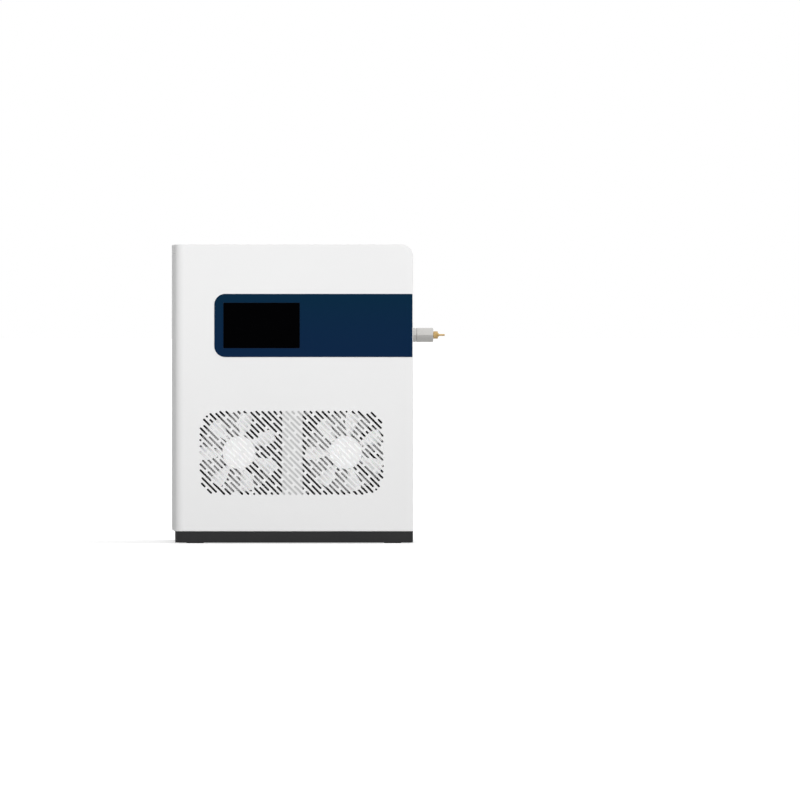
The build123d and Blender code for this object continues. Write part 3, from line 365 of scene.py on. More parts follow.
def brushed(made, colour):
    """Metal with a fine directional grain and faint handling marks."""
    streak = made.noise(made.place(scale=(30, 1500, 1500)), 1, 3, 0.6)
    smear = made.noise(made.place(), 35, 4)
    made.feed("Base Color", made.tint(streak * 0.6 + smear * 0.4, colour, 0.1))
    made.feed("Roughness", 0.24 + streak * 0.14 + smear * 0.06)
    made.feed("Normal", made.bump(streak, 0.00001, 0.4))


def milled(made, colour):
    """Machined aluminium: overlapping cutter arcs and a soft oxide bloom."""
    arcs = {"Vector": made.place(shift=(0, 0.9, 0.25)), "Scale": 260, "Distortion": 1.5, "Detail": 2}
    sweep = made.node("ShaderNodeTexWave", {"wave_type": "RINGS", "rings_direction": "X"}, arcs, 1)
    bloom = made.noise(made.place(), 16, 4)
    grit = made.noise(made.place(), 1800, 2)
    made.feed("Base Color", made.tint(bloom * 0.7 + grit * 0.3, colour, 0.07))
    made.feed("Roughness", 0.26 + sweep * 0.08 + bloom * 0.1)
    made.feed("Normal", made.bump(sweep * 0.5 + grit * 0.5, 0.000012, 0.5))


def polished_steel(made, colour):
    """Turned stainless steel with a trace of heat tint."""
    turn_marks = made.noise(made.place(scale=(1600, 90, 90)), 1, 2)
    tint = made.noise(made.place(), 18, 2)
    straw = (colour[0], colour[1] * 0.93, colour[2] * 0.82, 1.0)
    made.feed("Base Color", made.mix(made.ramp(tint, (0.45, 0.0), (0.75, 0.5)), tuple(colour), straw))
    made.feed("Roughness", 0.16 + turn_marks * 0.1 + tint * 0.05)
    made.feed("Normal", made.bump(turn_marks, 0.000008, 0.4))


def brass(made, colour):
    """Turned brass with duller, browner patches where it is handled."""
    patina = made.noise(made.place(), 120, 5, 0.6)
    lines = made.noise(made.place(scale=(90, 90, 2500)), 1, 2)
    brown = (colour[0] * 0.55, colour[1] * 0.5, colour[2] * 0.5, 1.0)
    made.feed("Base Color", made.mix(made.ramp(patina, (0.4, 0.0), (0.7, 0.6)), tuple(colour), brown))
    made.feed("Roughness", 0.22 + patina * 0.2)
    made.feed("Normal", made.bump(lines, 0.000008, 0.4))


def ceramic(made, colour):
    """Sintered ceramic: matte, off-white, with tiny grey specks."""
    place = made.place()
    speck = made.ramp(made.cells(place, 900), (0.0, 0.0), (0.12, 1.0))
    grain = made.noise(place, 1600, 3)
    grey = tuple(channel * 0.72 for channel in colour[:3]) + (1.0,)
    made.feed("Base Color", made.mix(speck, grey, tuple(colour)))
    made.feed("Roughness", 0.55 + grain * 0.15)
    made.feed("Normal", made.bump(grain, 0.00002, 0.5))


def blasted(made, colour):
    """Bead-blasted aluminium casting."""
    place = made.place()
    beads = made.cells(place, 1500)
    bloom = made.noise(place, 22, 4)
    made.feed("Base Color", made.tint(beads * 0.5 + bloom * 0.5, colour, 0.12))
    made.feed("Roughness", 0.4 + bloom * 0.12)
    made.feed("Normal", made.bump(beads, 0.00003, 0.5))


def galvanised(made, colour):
    """Zinc spangle: crystals of slightly different grey."""
    place = made.place()
    crystal = made.cells(place, 120, output="Color")
    grey = made.node("ShaderNodeRGBToBW", values={"Color": crystal})
    grain = made.noise(place, 1200, 3)
    made.feed("Base Color", made.tint(grey * 0.7 + grain * 0.3, colour, 0.16))
    made.feed("Roughness", 0.36 + grey * 0.16)
    made.feed("Normal", made.bump(grain, 0.00002, 0.4))


def solder_mask(made, colour):
    """Green solder mask over copper tracks, seen as lighter lines."""
    place = made.place()
    track = made.node("ShaderNodeTexVoronoi", {"feature": "DISTANCE_TO_EDGE"},
                      {"Vector": place, "Scale": 210, "Randomness": 0.55}, "Distance")
    copper = made.ramp(track, (0.05, 1.0), (0.09, 0.0))
    weave = made.noise(place, 900, 2)
    light = tuple(min(1.0, channel * 2.1 + 0.004) for channel in colour[:3]) + (1.0,)
    made.feed("Base Color", made.mix(copper, tuple(colour), light))
    made.feed("Roughness", 0.3 + weave * 0.1)
    made.feed("Normal", made.bump(copper, 0.00003, 0.5))


METAL = {"Metallic": 1.0}
FINISHES = {
    "white_paint": (powder_coat, {"Specular IOR Level": 0.4}),
    "plinth_paint": (textured_paint, {"Specular IOR Level": 0.15}),
    "black_rubber": (rubber, {"Specular IOR Level": 0.3}),
    "navy_fascia": (navy_film, {"Specular IOR Level": 0.05}),
    "screen_glass": (cover_glass, {"Specular IOR Level": 0.005}),
    "module_plastic": (moulded_plastic, {}),
    "bracket_paint": (powder_coat, {}),
    "fan_black": (moulded_plastic, {"Specular IOR Level": 0.3}),
    "fan_white": (white_plastic, {"Subsurface Weight": 0.05, "Subsurface Scale": 0.002}),
    "frame_steel": (galvanised, {"Metallic": 0.35}),
    "screw_steel": (brushed, METAL),
    "hinge_steel": (brushed, METAL),
    "machined_aluminium": (milled, METAL),
    "stainless": (polished_steel, METAL),
    "brass_fittings": (brass, METAL),
    "white_ceramic": (ceramic, {}),
    "pump_aluminium": (blasted, METAL),
    "gauge_case": (brushed, METAL),
    "case_steel": (brushed, METAL),
    "circuit_board": (solder_mask, {"Coat Weight": 0.4, "Coat Roughness": 0.2}),
    "black_plastic": (moulded_plastic, {}),
}


def finish(slot):
    """The material of one of the record's slots, made the first time it is asked for."""
    name = f"{slot}_finish"
    if name not in bpy.data.materials:
        material = bpy.data.materials.new(name)
        material.use_nodes = True
        recipe, constants = FINISHES[slot]
        colour = getattr(bpy.context.scene.spectrometer_colours, slot)
        recipe(Finish(material.node_tree, constants), colour)
        material.diffuse_color = colour
    return bpy.data.materials[name]


# --- Shaping --------------------------------------------------------------------------------------


def node_box(name):
    """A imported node's lowest and highest corners, in millimetres."""
    low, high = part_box(name)
    return low / MM, high / MM


def middle_of(name):
    """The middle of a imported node's box, in millimetres."""
    low, high = node_box(name)
    return (low + high) / 2


def fresh(build, *sizes, **options):
    """A new mesh that holds one form."""
    bm = bmesh.new()
    build(bm, *sizes, **options)
    return bm


def block(bm, low, high):
    """A box between two corners."""
    low, high = Vector(low), Vector(high)
    corners = bmesh.ops.create_cube(bm, size=1.0)["verts"]
    bmesh.ops.scale(bm, vec=high - low, verts=corners)
    bmesh.ops.translate(bm, vec=(low + high) / 2, verts=corners)


def pointing(spot, axis):
    """A place at a spot whose own Z points along an axis."""
    return Matrix.Translation(spot) @ Vector(axis).to_track_quat("Z", "Y").to_matrix().to_4x4()


def rod(bm, start, end, radius, sides=48):
    """A round bar between two points; one with six sides is a hexagon."""
    start, end = Vector(start), Vector(end)
    run = end - start
    bmesh.ops.create_cone(bm, cap_ends=True, segments=sides, radius1=radius, radius2=radius,
                          depth=run.length, matrix=pointing((start + end) / 2, run))


def turned(bm, profile, centre, axis, steps=64, ring=False):
    """A lathe-turned part: (radius, height) points spun once round an axis."""
    older = set(bm.verts)
    corners = [bm.verts.new((radius, 0, height)) for radius, height in profile]
    pairs = list(zip(corners, corners[1:])) + ([(corners[-1], corners[0])] if ring else [])
    edges = [bm.edges.new(pair) for pair in pairs]
    bmesh.ops.spin(bm, geom=corners + edges, cent=(0, 0, 0), axis=(0, 0, 1), dvec=(0, 0, 0),
                   angle=math.tau, steps=steps, use_merge=True, use_duplicate=False)
    newer = [v for v in bm.verts if v not in older]
    bmesh.ops.transform(bm, matrix=pointing(centre, axis), verts=newer)


def round_edges(bm, edges, radius, steps):
    """Rounds edges to a radius."""
    bmesh.ops.bevel(bm, geom=edges, offset=radius, offset_type="OFFSET", segments=steps, profile=0.5,
                    affect="EDGES", clamp_overlap=False, material=-1)


def prism(bm, outline, low, high, axis):
    """A solid between two heights along an axis, with an outline given in the other two axes."""
    across = [a for a in (X, Y, Z) if a != axis]

    def corner(point, height):
        place = [0.0, 0.0, 0.0]
        place[across[0]], place[across[1]], place[axis] = *point, height
        return bm.verts.new(place)

    ends = [[corner(point, height) for point in outline] for height in (low, high)]
    bm.faces.new(ends[0])
    bm.faces.new(ends[1])
    for index in range(len(outline)):
        after = (index + 1) % len(outline)
        bm.faces.new((ends[0][index], ends[0][after], ends[1][after], ends[1][index]))


def arc(centre, radius, start, end, steps=12):
    """Points on an arc, with its angles in degrees."""
    angles = [math.radians(start + (end - start) * index / steps) for index in range(steps + 1)]
    return [(centre[0] + radius * math.cos(a), centre[1] + radius * math.sin(a)) for a in angles]


def sharp_edges(bm):
    """Edges where two faces meet at a corner."""
    return [e for e in bm.edges if len(e.link_faces) == 2 and e.calc_face_angle() > 0.9]


def open_side(bm, axis, level):
    """Takes away the face that closes a box at its high end of an axis."""
    lid = [f for f in bm.faces if f.calc_center_median()[axis] > level - 0.01]
    bmesh.ops.delete(bm, geom=lid, context="FACES")


def extrude(bm, edges, along):
    """Draws edges out into faces of a sheet."""
    made = bmesh.ops.extrude_edge_only(bm, edges=edges)["geom"]
    bmesh.ops.translate(bm, vec=along, verts=[v for v in made if isinstance(v, bmesh.types.BMVert)])


def face_outwards(bm, centre):
    """Turns an open sheet's faces away from a point, before as_object would guess."""
    bmesh.ops.recalc_face_normals(bm, faces=bm.faces)
    middle = Vector(centre)
    outward = sum((f.calc_center_median() - middle).dot(f.normal) * f.calc_area() for f in bm.faces)
    if outward < 0:
        bmesh.ops.reverse_faces(bm, faces=bm.faces)
    return bm


def edges_along(bm, axis, near=None):
    """Edges parallel to an axis, or only those nearest to a point."""
    found = [e for e in bm.edges if abs((e.verts[0].co - e.verts[1].co).normalized()[axis]) > 0.999]
    if near is None:
        return found

    def away(edge):
        gap = (edge.verts[0].co + edge.verts[1].co) / 2 - Vector(near)
        gap[axis] = 0
        return gap.length

    nearest = min(map(away, found))
    return [e for e in found if away(e) < nearest + 0.01]


def rounded_block(bm, low, high, axis, radius, steps=8):
    """A box whose edges along one axis are rounded."""
    own = bmesh.new()
    block(own, low, high)
    round_edges(own, edges_along(own, axis), radius, steps)
    pour(own, bm)


def pour(source, target):
    """Adds one mesh under construction to another."""
    mesh = bpy.data.meshes.new("poured")
    source.to_mesh(mesh)
    source.free()
    target.from_mesh(mesh)
    bpy.data.meshes.remove(mesh)


def slot_tool(bm, place, slot_length, slot_width, levels, sides=18):
    """A cutter with round ends, along its own Y; levels are (height, growth) steps of its mouth."""
    half = (slot_length - slot_width) / 2
    rings, corners = [], []
    for height, growth in levels:
        radius = slot_width / 2 + growth
        ring = bmesh.ops.create_circle(bm, cap_ends=False, segments=sides, radius=radius)["verts"]
        for corner in ring:
            corner.co.y += math.copysign(half, corner.co.y)
            corner.co.z = height
        corners += ring
        rings.append([e for e in {e for v in ring for e in v.link_edges}])
    for lower, upper in zip(rings, rings[1:]):
        bmesh.ops.bridge_loops(bm, edges=lower + upper)
    bmesh.ops.contextual_create(bm, geom=rings[0])
    bmesh.ops.contextual_create(bm, geom=rings[-1])
    bmesh.ops.transform(bm, matrix=place, verts=corners)


def chamfered(depth, chamfer, above):
    """Levels of a slot cutter: straight below the surface, then a chamfer at its mouth."""
    return (-depth, 0), (-chamfer, 0), (0, chamfer), (above, chamfer)


def facing_front(x, y, z, slope):
    """A place on a plane that faces the front, with its own Y along the slope."""
    along = Vector((math.cos(slope), 0, math.sin(slope)))
    out = Vector(FRONT)
    turn = Matrix((along.cross(out), along, out)).transposed().to_4x4()
    return Matrix.Translation((x, y, z)) @ turn


def as_object(name, bm):
    """A plain object from a mesh in millimetres, with its faces pointing outwards."""
    bmesh.ops.remove_doubles(bm, verts=bm.verts, dist=0.0005)
    bmesh.ops.recalc_face_normals(bm, faces=bm.faces)
    bmesh.ops.scale(bm, vec=(MM, MM, MM), verts=bm.verts)
    mesh = bpy.data.meshes.new(name)
    bm.to_mesh(mesh)
    bm.free()
    made = bpy.data.objects.new(name, mesh)
    bpy.context.scene.collection.objects.link(made)
    return made


def settle(made):
    """Turns an object's modifiers into its mesh."""
    bpy.context.view_layer.update()
    mesh = bpy.data.meshes.new_from_object(made.evaluated_get(bpy.context.evaluated_depsgraph_get()))
    made.modifiers.clear()
    made.data = mesh


def shape(made, bm, operation, crossing=False):
    """Cuts a solid out of an object, or joins it on; the solid's own parts may cross."""
    tool = as_object("tool", bm)
    modifier = made.modifiers.new("shape", "BOOLEAN")
    modifier.object = tool
    modifier.operation = operation
    modifier.solver = "EXACT"
    modifier.use_self = crossing
    settle(made)
    bpy.data.objects.remove(tool)


def fold(made, sheet):
    """Gives an open sheet its thickness, inwards."""
    modifier = made.modifiers.new("sheet", "SOLIDIFY")
    modifier.thickness = sheet * MM
    modifier.offset = -1.0
    modifier.use_even_offset = True
    settle(made)


def piece(made, slot, body="cabinet", replaces=(), soft=0.0, steps=2, sharp=32):
    """Finishes a piece: softened edges, clean shading, its finish, and its place in the model."""
    made.data.materials.clear()
    made.data.materials.append(finish(slot))
    made.data.polygons.foreach_set("use_smooth", [True] * len(made.data.polygons))
    made.data.set_sharp_from_angle(angle=math.radians(sharp))
    if soft:
        bevel = made.modifiers.new("soft edges", "BEVEL")
        bevel.width = soft * MM
        bevel.segments = steps
        bevel.limit_method = "ANGLE"
        bevel.angle_limit = math.radians(sharp)
        bevel.use_clamp_overlap = False
        bevel.harden_normals = False
    weighted = made.modifiers.new("even shading", "WEIGHTED_NORMAL")
    weighted.keep_sharp = not soft
    weighted.weight = 100
    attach(made, body)
    if replaces:
        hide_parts(*replaces)
    return made


def pan_screws(name, spots, out, radius, height, turn, first=0.0, node=None):
    """Pan-head screws with cross recesses, each turned a little further than the one before."""
    out = Vector(out)
    profile = ((0, 0), (radius, 0), (radius, height * 0.45), (radius * 0.86, height * 0.8),
               (radius * 0.5, height), (0, height))
    arm, half_width = radius * 0.55, radius * 0.12
    heads, recesses = bmesh.new(), bmesh.new()
    for index, spot in enumerate(spots):
        turned(heads, profile, spot, out, 32)
        top = pointing(Vector(spot) + out * height, out)
        for quarter in (0, math.pi / 2):
            own = fresh(block, (-arm, -half_width, -height * 0.6), (arm, half_width, 1))
            spin = Matrix.Rotation(first + turn * index + quarter, 4, "Z")
            bmesh.ops.transform(own, matrix=top @ spin, verts=own.verts)
            pour(own, recesses)
    made = as_object(name, heads)
    shape(made, recesses, "DIFFERENCE", crossing=True)
    piece(made, "screw_steel", replaces=[node] if node else ())


def socket_screws(name, spots, out, radius, height, soft=0.0, node=None):
    """Cap screws with hexagon sockets."""
    out = Vector(out)
    edge = 0.7
    profile = ((0, 0), (radius, 0), (radius, height - edge), (radius - edge, height), (0, height))
    heads, recesses = bmesh.new(), bmesh.new()
    for spot in spots:
        turned(heads, profile, spot, out, 40)
        top = Vector(spot) + out * height
        rod(recesses, top - out * height * 0.55, top + out, radius * 0.55, 6)
    made = as_object(name, heads)
    shape(made, recesses, "DIFFERENCE")
    piece(made, "screw_steel", replaces=[node] if node else (), soft=soft)


# --- Cabinet --------------------------------------------------------------------------------------


def field_distance(x, z, grille):
    """How far a point lies outside the slotted field's rounded outline, or below zero inside it."""
    radius = grille.corner / MM
    across = abs(x) - grille.width / 2 / MM + radius
    up = abs(z) - grille.height / 2 / MM + radius
    return math.hypot(max(across, 0), max(up, 0)) + min(max(across, up), 0) - radius


def grille_tools(face):
    """Cutters for the slots: rows in running bond, cut off at the rounded outline."""
    grille = bpy.context.scene.spectrometer_grille
    centre, shift = Vector(grille.centre) / MM, Vector(grille.shift) / MM
    along = Vector((math.cos(grille.slope), math.sin(grille.slope)))
    across = Vector((-along.y, along.x))
    reach = (grille.width + grille.height) / 2 / MM
    rows = math.ceil(reach * math.sqrt(0.5) / (grille.row_pitch / MM))
    places = math.ceil(reach / (grille.slot_period / MM))
    step = 0.1
    levels = chamfered(3.0, 0.2, 0.6)
    bm = bmesh.new()
    for row in range(-rows, rows + 1):
        start = across * row * grille.row_pitch / MM + shift
        steps = [index * step for index in range(int(-reach / step), int(reach / step))]
        inside = [t for t in steps if field_distance(*(start + along * t), grille) <= 0]
        if not inside:
            continue
        for place in range(-places, places + 1):
            middle = (place + 0.5 * (row % 2)) * grille.slot_period / MM
            low = max(inside[0], middle - grille.slot_length / 2 / MM)
            high = min(inside[-1], middle + grille.slot_length / 2 / MM)
            if high - low < grille.shortest / MM:
                continue
            spot = centre + start + along * (low + high) / 2
            at = facing_front(spot.x, face, spot.y, grille.slope)
            slot_tool(bm, at, high - low, grille.slot_width / MM, levels)
    return bm


class FrontCoverOperator(bpy.types.Operator):
    """Presses the white front cover with its slotted field and screen window"""

    bl_idname = "spectrometer.front_cover"
    bl_label = "Front cover"

    def execute(self, context):
        cabinet = context.scene.spectrometer_cabinet
        low, high = node_box("front_cover")
        low.z += cabinet.upstand / MM
        bm = bmesh.new()
        block(bm, low, high)
        round_edges(bm, edges_along(bm, Y, near=high), cabinet.top_corner / MM, 20)
        round_edges(bm, edges_along(bm, Z, near=low), cabinet.left_corner / MM, 16)
        rim = [e for e in sharp_edges(bm) if min(v.co.y for v in e.verts) < high.y - 1]
        round_edges(bm, rim, cabinet.rim / MM, 4)
        open_side(bm, Y, high.y)
        cover = as_object("front_cover_sheet", bm)
        fold(cover, cabinet.sheet / MM)
        tools = grille_tools(low.y)
        window_low, window_high = node_box("touch_glass")
        gap = Vector((0.3, 5.0, 0.3))
        block(tools, window_low - gap, window_high + gap)
        shape(cover, tools, "DIFFERENCE")
        studs = bmesh.new()
        bracket_low, bracket_high = node_box("fan_bracket")
        inset, stud = 8.0, 4.0
        for x in (bracket_low.x + inset, bracket_high.x - inset):
            for z in (bracket_low.z + inset, bracket_high.z - inset):
                rod(studs, (x, low.y + 1.5, z), (x, bracket_low.y, z), stud, 24)
        shape(cover, studs, "UNION")
        piece(cover, "white_paint", replaces=["front_cover"], sharp=40)
        return {"FINISHED"}


class ShellOperator(bpy.types.Operator):
    """Bends the sheet that makes the top and the right side, with the hole for the transfer line"""

    bl_idname = "spectrometer.shell"
    bl_label = "Top and right shell"

    def execute(self, context):
        cabinet = context.scene.spectrometer_cabinet
        low, high = node_box("top_shell")
        bm = bmesh.new()
        outline = ((low.x, high.z - cabinet.lip / MM), (low.x, high.z), (high.x, high.z), (high.x, low.z))
        corners = [bm.verts.new((x, low.y, z)) for x, z in outline]
        edges = [bm.edges.new(pair) for pair in zip(corners, corners[1:])]
        extrude(bm, edges, (0, high.y - low.y, 0))
        round_edges(bm, edges_along(bm, Y, near=(high.x, 0, high.z)), cabinet.top_corner / MM, 20)
        round_edges(bm, edges_along(bm, Y, near=(low.x, 0, high.z)), cabinet.fold / MM, 4)
        shell = as_object("top_and_right_shell", face_outwards(bm, (0, 0, 250)))
        fold(shell, cabinet.sheet / MM)
        line = middle_of("transfer_line")
        start, end = (high.x - 6, line.y, line.z), (high.x + 6, line.y, line.z)
        tool = fresh(rod, start, end, cabinet.line_hole / MM, 64)
        shape(shell, tool, "DIFFERENCE")
        piece(shell, "white_paint", replaces=["top_shell"], sharp=40)
        return {"FINISHED"}


class DoorOperator(bpy.types.Operator):
    """Folds the service door on the left, with its finger slot and hinge notches"""

    bl_idname = "spectrometer.door"
    bl_label = "Service door"

    def execute(self, context):
        cabinet = context.scene.spectrometer_cabinet
        low, high = node_box("side_door")
        flange_end = high.y - 14.0
        grip_height, grip_inset, grip_length, grip_width = 262.0, 17.0, 70.0, 14.0
        notch = 16.5
        bm = bmesh.new()
        outline = ((flange_end, low.z), (low.y, low.z), (low.y, high.z), (flange_end, high.z),
                   (high.y, high.z), (high.y, low.z))
        corners = [bm.verts.new((low.x, y, z)) for y, z in outline]
        bm.faces.new(corners)
        bent = [bm.edges.get(pair) for pair in zip(corners[:3], corners[1:4])]
        extrude(bm, bent, (high.x - low.x, 0, 0))
        round_edges(bm, sharp_edges(bm), cabinet.fold / MM, 4)
        door = as_object("service_door_sheet", face_outwards(bm, (high.x, 0, grip_height)))
        fold(door, cabinet.sheet / MM)
        tools = bmesh.new()
        grip = pointing((low.x, low.y + grip_inset, grip_height), LEFT)
        slot_tool(tools, grip, grip_length, grip_width, chamfered(3, 0.5, 2), 42)
        for level in ("lower", "upper"):
            middle = middle_of(f"hinge_{level}_frame_leaf").z - 15
            block(tools, (low.x - 2, high.y - 6, middle - notch), (low.x + 3, high.y + 2, middle + notch))
        shape(door, tools, "DIFFERENCE")
        piece(door, "white_paint", "service_door", ["side_door"], soft=0.2)
        return {"FINISHED"}


BACK_OPENINGS = {
    "mains_inlet": (28, 24),
    "switch_bezel": (28, 20),
    "lan_port": (16, 14),
    "remote_port": (20, 10),
}


class BackPanelOperator(bpy.types.Operator):
    """Punches the back panel with its vents and the openings for the sockets"""

    bl_idname = "spectrometer.back_panel"
    bl_label = "Back panel"

    def execute(self, context):
        cabinet = context.scene.spectrometer_cabinet
        low, high = node_box("back_panel")
        sheet = cabinet.sheet / MM
        bm = bmesh.new()
        block(bm, (low.x, high.y - sheet, low.z), high)
        round_edges(bm, edges_along(bm, Y, near=high), cabinet.top_corner / MM, 20)
        panel = as_object("back_panel_sheet", bm)
        flange = fresh(block, (low.x, low.y, low.z + sheet), (low.x + sheet, high.y - 0.5, high.z - 16))
        shape(panel, flange, "UNION")
        tools = bmesh.new()
        turn = Matrix.Rotation(math.pi, 4, "Z")
        inside, outside = high.y - 6, high.y + 3
        vent_columns, vent_rows, vent_pitch, lowest_vent = (-110, 0, 110), 8, 15, 347.5
        vent_length, vent_width, pipe_hole = 90, 3.5, 8.5
        for column in vent_columns:
            for row in range(vent_rows):
                at = turn @ facing_front(-column, -high.y, lowest_vent + vent_pitch * row, 0)
                slot_tool(tools, at, vent_length, vent_width, chamfered(3, 0.4, 1))
        for name, (width, height) in BACK_OPENINGS.items():
            x, _, z = middle_of(name)
            start, end = (x - width / 2, inside, z - height / 2), (x + width / 2, outside, z + height / 2)
            block(tools, start, end)
        pipe = middle_of("foreline_pipe")
        rod(tools, (pipe.x, inside, pipe.z), (pipe.x, outside, pipe.z), pipe_hole, 48)
        shape(panel, tools, "DIFFERENCE")
        piece(panel, "white_paint", replaces=["back_panel"], sharp=40)
        return {"FINISHED"}


class PlinthOperator(bpy.types.Operator):
    """Makes the dark plinth tray and the rubber feet under it"""

    bl_idname = "spectrometer.plinth"
    bl_label = "Plinth and feet"

    def execute(self, context):
        cabinet = context.scene.spectrometer_cabinet
        low, high = node_box("plinth")
        low.z -= cabinet.skirt / MM
        top = high.z + cabinet.upstand / MM
        corner = cabinet.left_corner / MM
        recess, step = low.x + cabinet.side_gap / MM, low.y + 20
        outline = arc((low.x + corner, low.y + corner), corner, 180, 270, 16)
        outline += [(high.x, low.y), (high.x, high.y), (recess, high.y), (recess, step), (low.x, step)]
        bm = bmesh.new()
        prism(bm, outline, low.z, top, Z)
        rim = [e for e in bm.edges if max(v.co.z for v in e.verts) < low.z + 0.01]
        round_edges(bm, rim, cabinet.fold / MM, 4)
        open_side(bm, Z, top)
        tray = as_object("plinth_tray", bm)
        fold(tray, cabinet.sheet / MM)
        cover_rear = node_box("front_cover")[1].y
        behind_cover = fresh(block, (low.x - 3, cover_rear, high.z), (high.x + 3, high.y + 3, top + 3))
        shape(tray, behind_cover, "DIFFERENCE")
        piece(tray, "plinth_paint", replaces=["plinth"], sharp=40)

        low, high = node_box("rubber_feet")
        half, corner = 15.0, 6.0
        feet = bmesh.new()
        spots = [(x, y) for x in (low.x + half, high.x - half) for y in (low.y + half, high.y - half)]
        for x, y in spots + [(0, 0)]:
            rounded_block(feet, (x - half, y - half, 0), (x + half, y + half, high.z), Z, corner)
        piece(as_object("rubber_foot_pads", feet), "black_rubber", replaces=["rubber_feet"], soft=0.5)
        return {"FINISHED"}


class DisplayOperator(bpy.types.Operator):
    """Lays the navy fascia and the black glass of the touch screen"""

    bl_idname = "spectrometer.display"
    bl_label = "Fascia and screen"

    def execute(self, context):
        cabinet = context.scene.spectrometer_cabinet
        low, high = node_box("display_fascia")
        glass_low, glass_high = node_box("touch_glass")
        bm = bmesh.new()
        block(bm, low, high)
        for z in (low.z, high.z):
            round_edges(bm, edges_along(bm, Y, near=(low.x, 0, z)), cabinet.fascia_corner / MM, 16)
        fascia = as_object("navy_fascia_film", bm)
        tool = bmesh.new()
        gap = Vector((0.1, 3.0, 0.1))
        block(tool, glass_low - gap, glass_high + gap)
        shape(fascia, tool, "DIFFERENCE")
        piece(fascia, "navy_fascia", replaces=["display_fascia"], soft=0.2, sharp=40)

        glass = as_object("touch_screen_glass", fresh(rounded_block, glass_low, glass_high, Y, 1.0, 4))
        piece(glass, "screen_glass", replaces=["touch_glass"], soft=0.25, steps=3)
        return {"FINISHED"}


# --- Fans -----------------------------------------------------------------------------------------


def fan_blade(fans, own):
    """One paddle blade along its own X: twisted, cambered, with a tip that follows the duct."""
    root, tip = fans.hub / MM - 2.0, fans.tip / MM
    columns, rows = 14, 10
    bmesh.ops.create_grid(own, x_segments=columns, y_segments=rows, size=0.5)
    thick = fans.blade / MM
    for corner in own.verts:
        out, side = corner.co.x + 0.5, corner.co.y * 2
        widening = min(1.0, out * 1.7) ** 1.3
        chord = (fans.root_chord + (fans.tip_chord - fans.root_chord) * widening) / MM
        corner_cut = max(0.0, out - 0.86) / 0.14
        across = side * chord / 2 * (1 - 0.16 * corner_cut ** 2)
        twist = fans.pitch + math.radians(5) * (0.5 - out)
        rise = 1.6 * (1 - side * side) - 0.8
        y = across * math.cos(twist) - rise * math.sin(twist)
        z = across * math.sin(twist) + rise * math.cos(twist)
        edge = math.sqrt(tip * tip - y * y)
        corner.co = (root + (edge - root) * out, y, z)
    return thick


def screw_spots(fans, side):
    """Where the four screws of a fan stand."""
    centre = middle_of(f"fan_frame_{side}")
    reach = fans.size / 2 / MM - 7
    return [(centre.x + right * reach, centre.z + up * reach) for right, up in CORNERS]


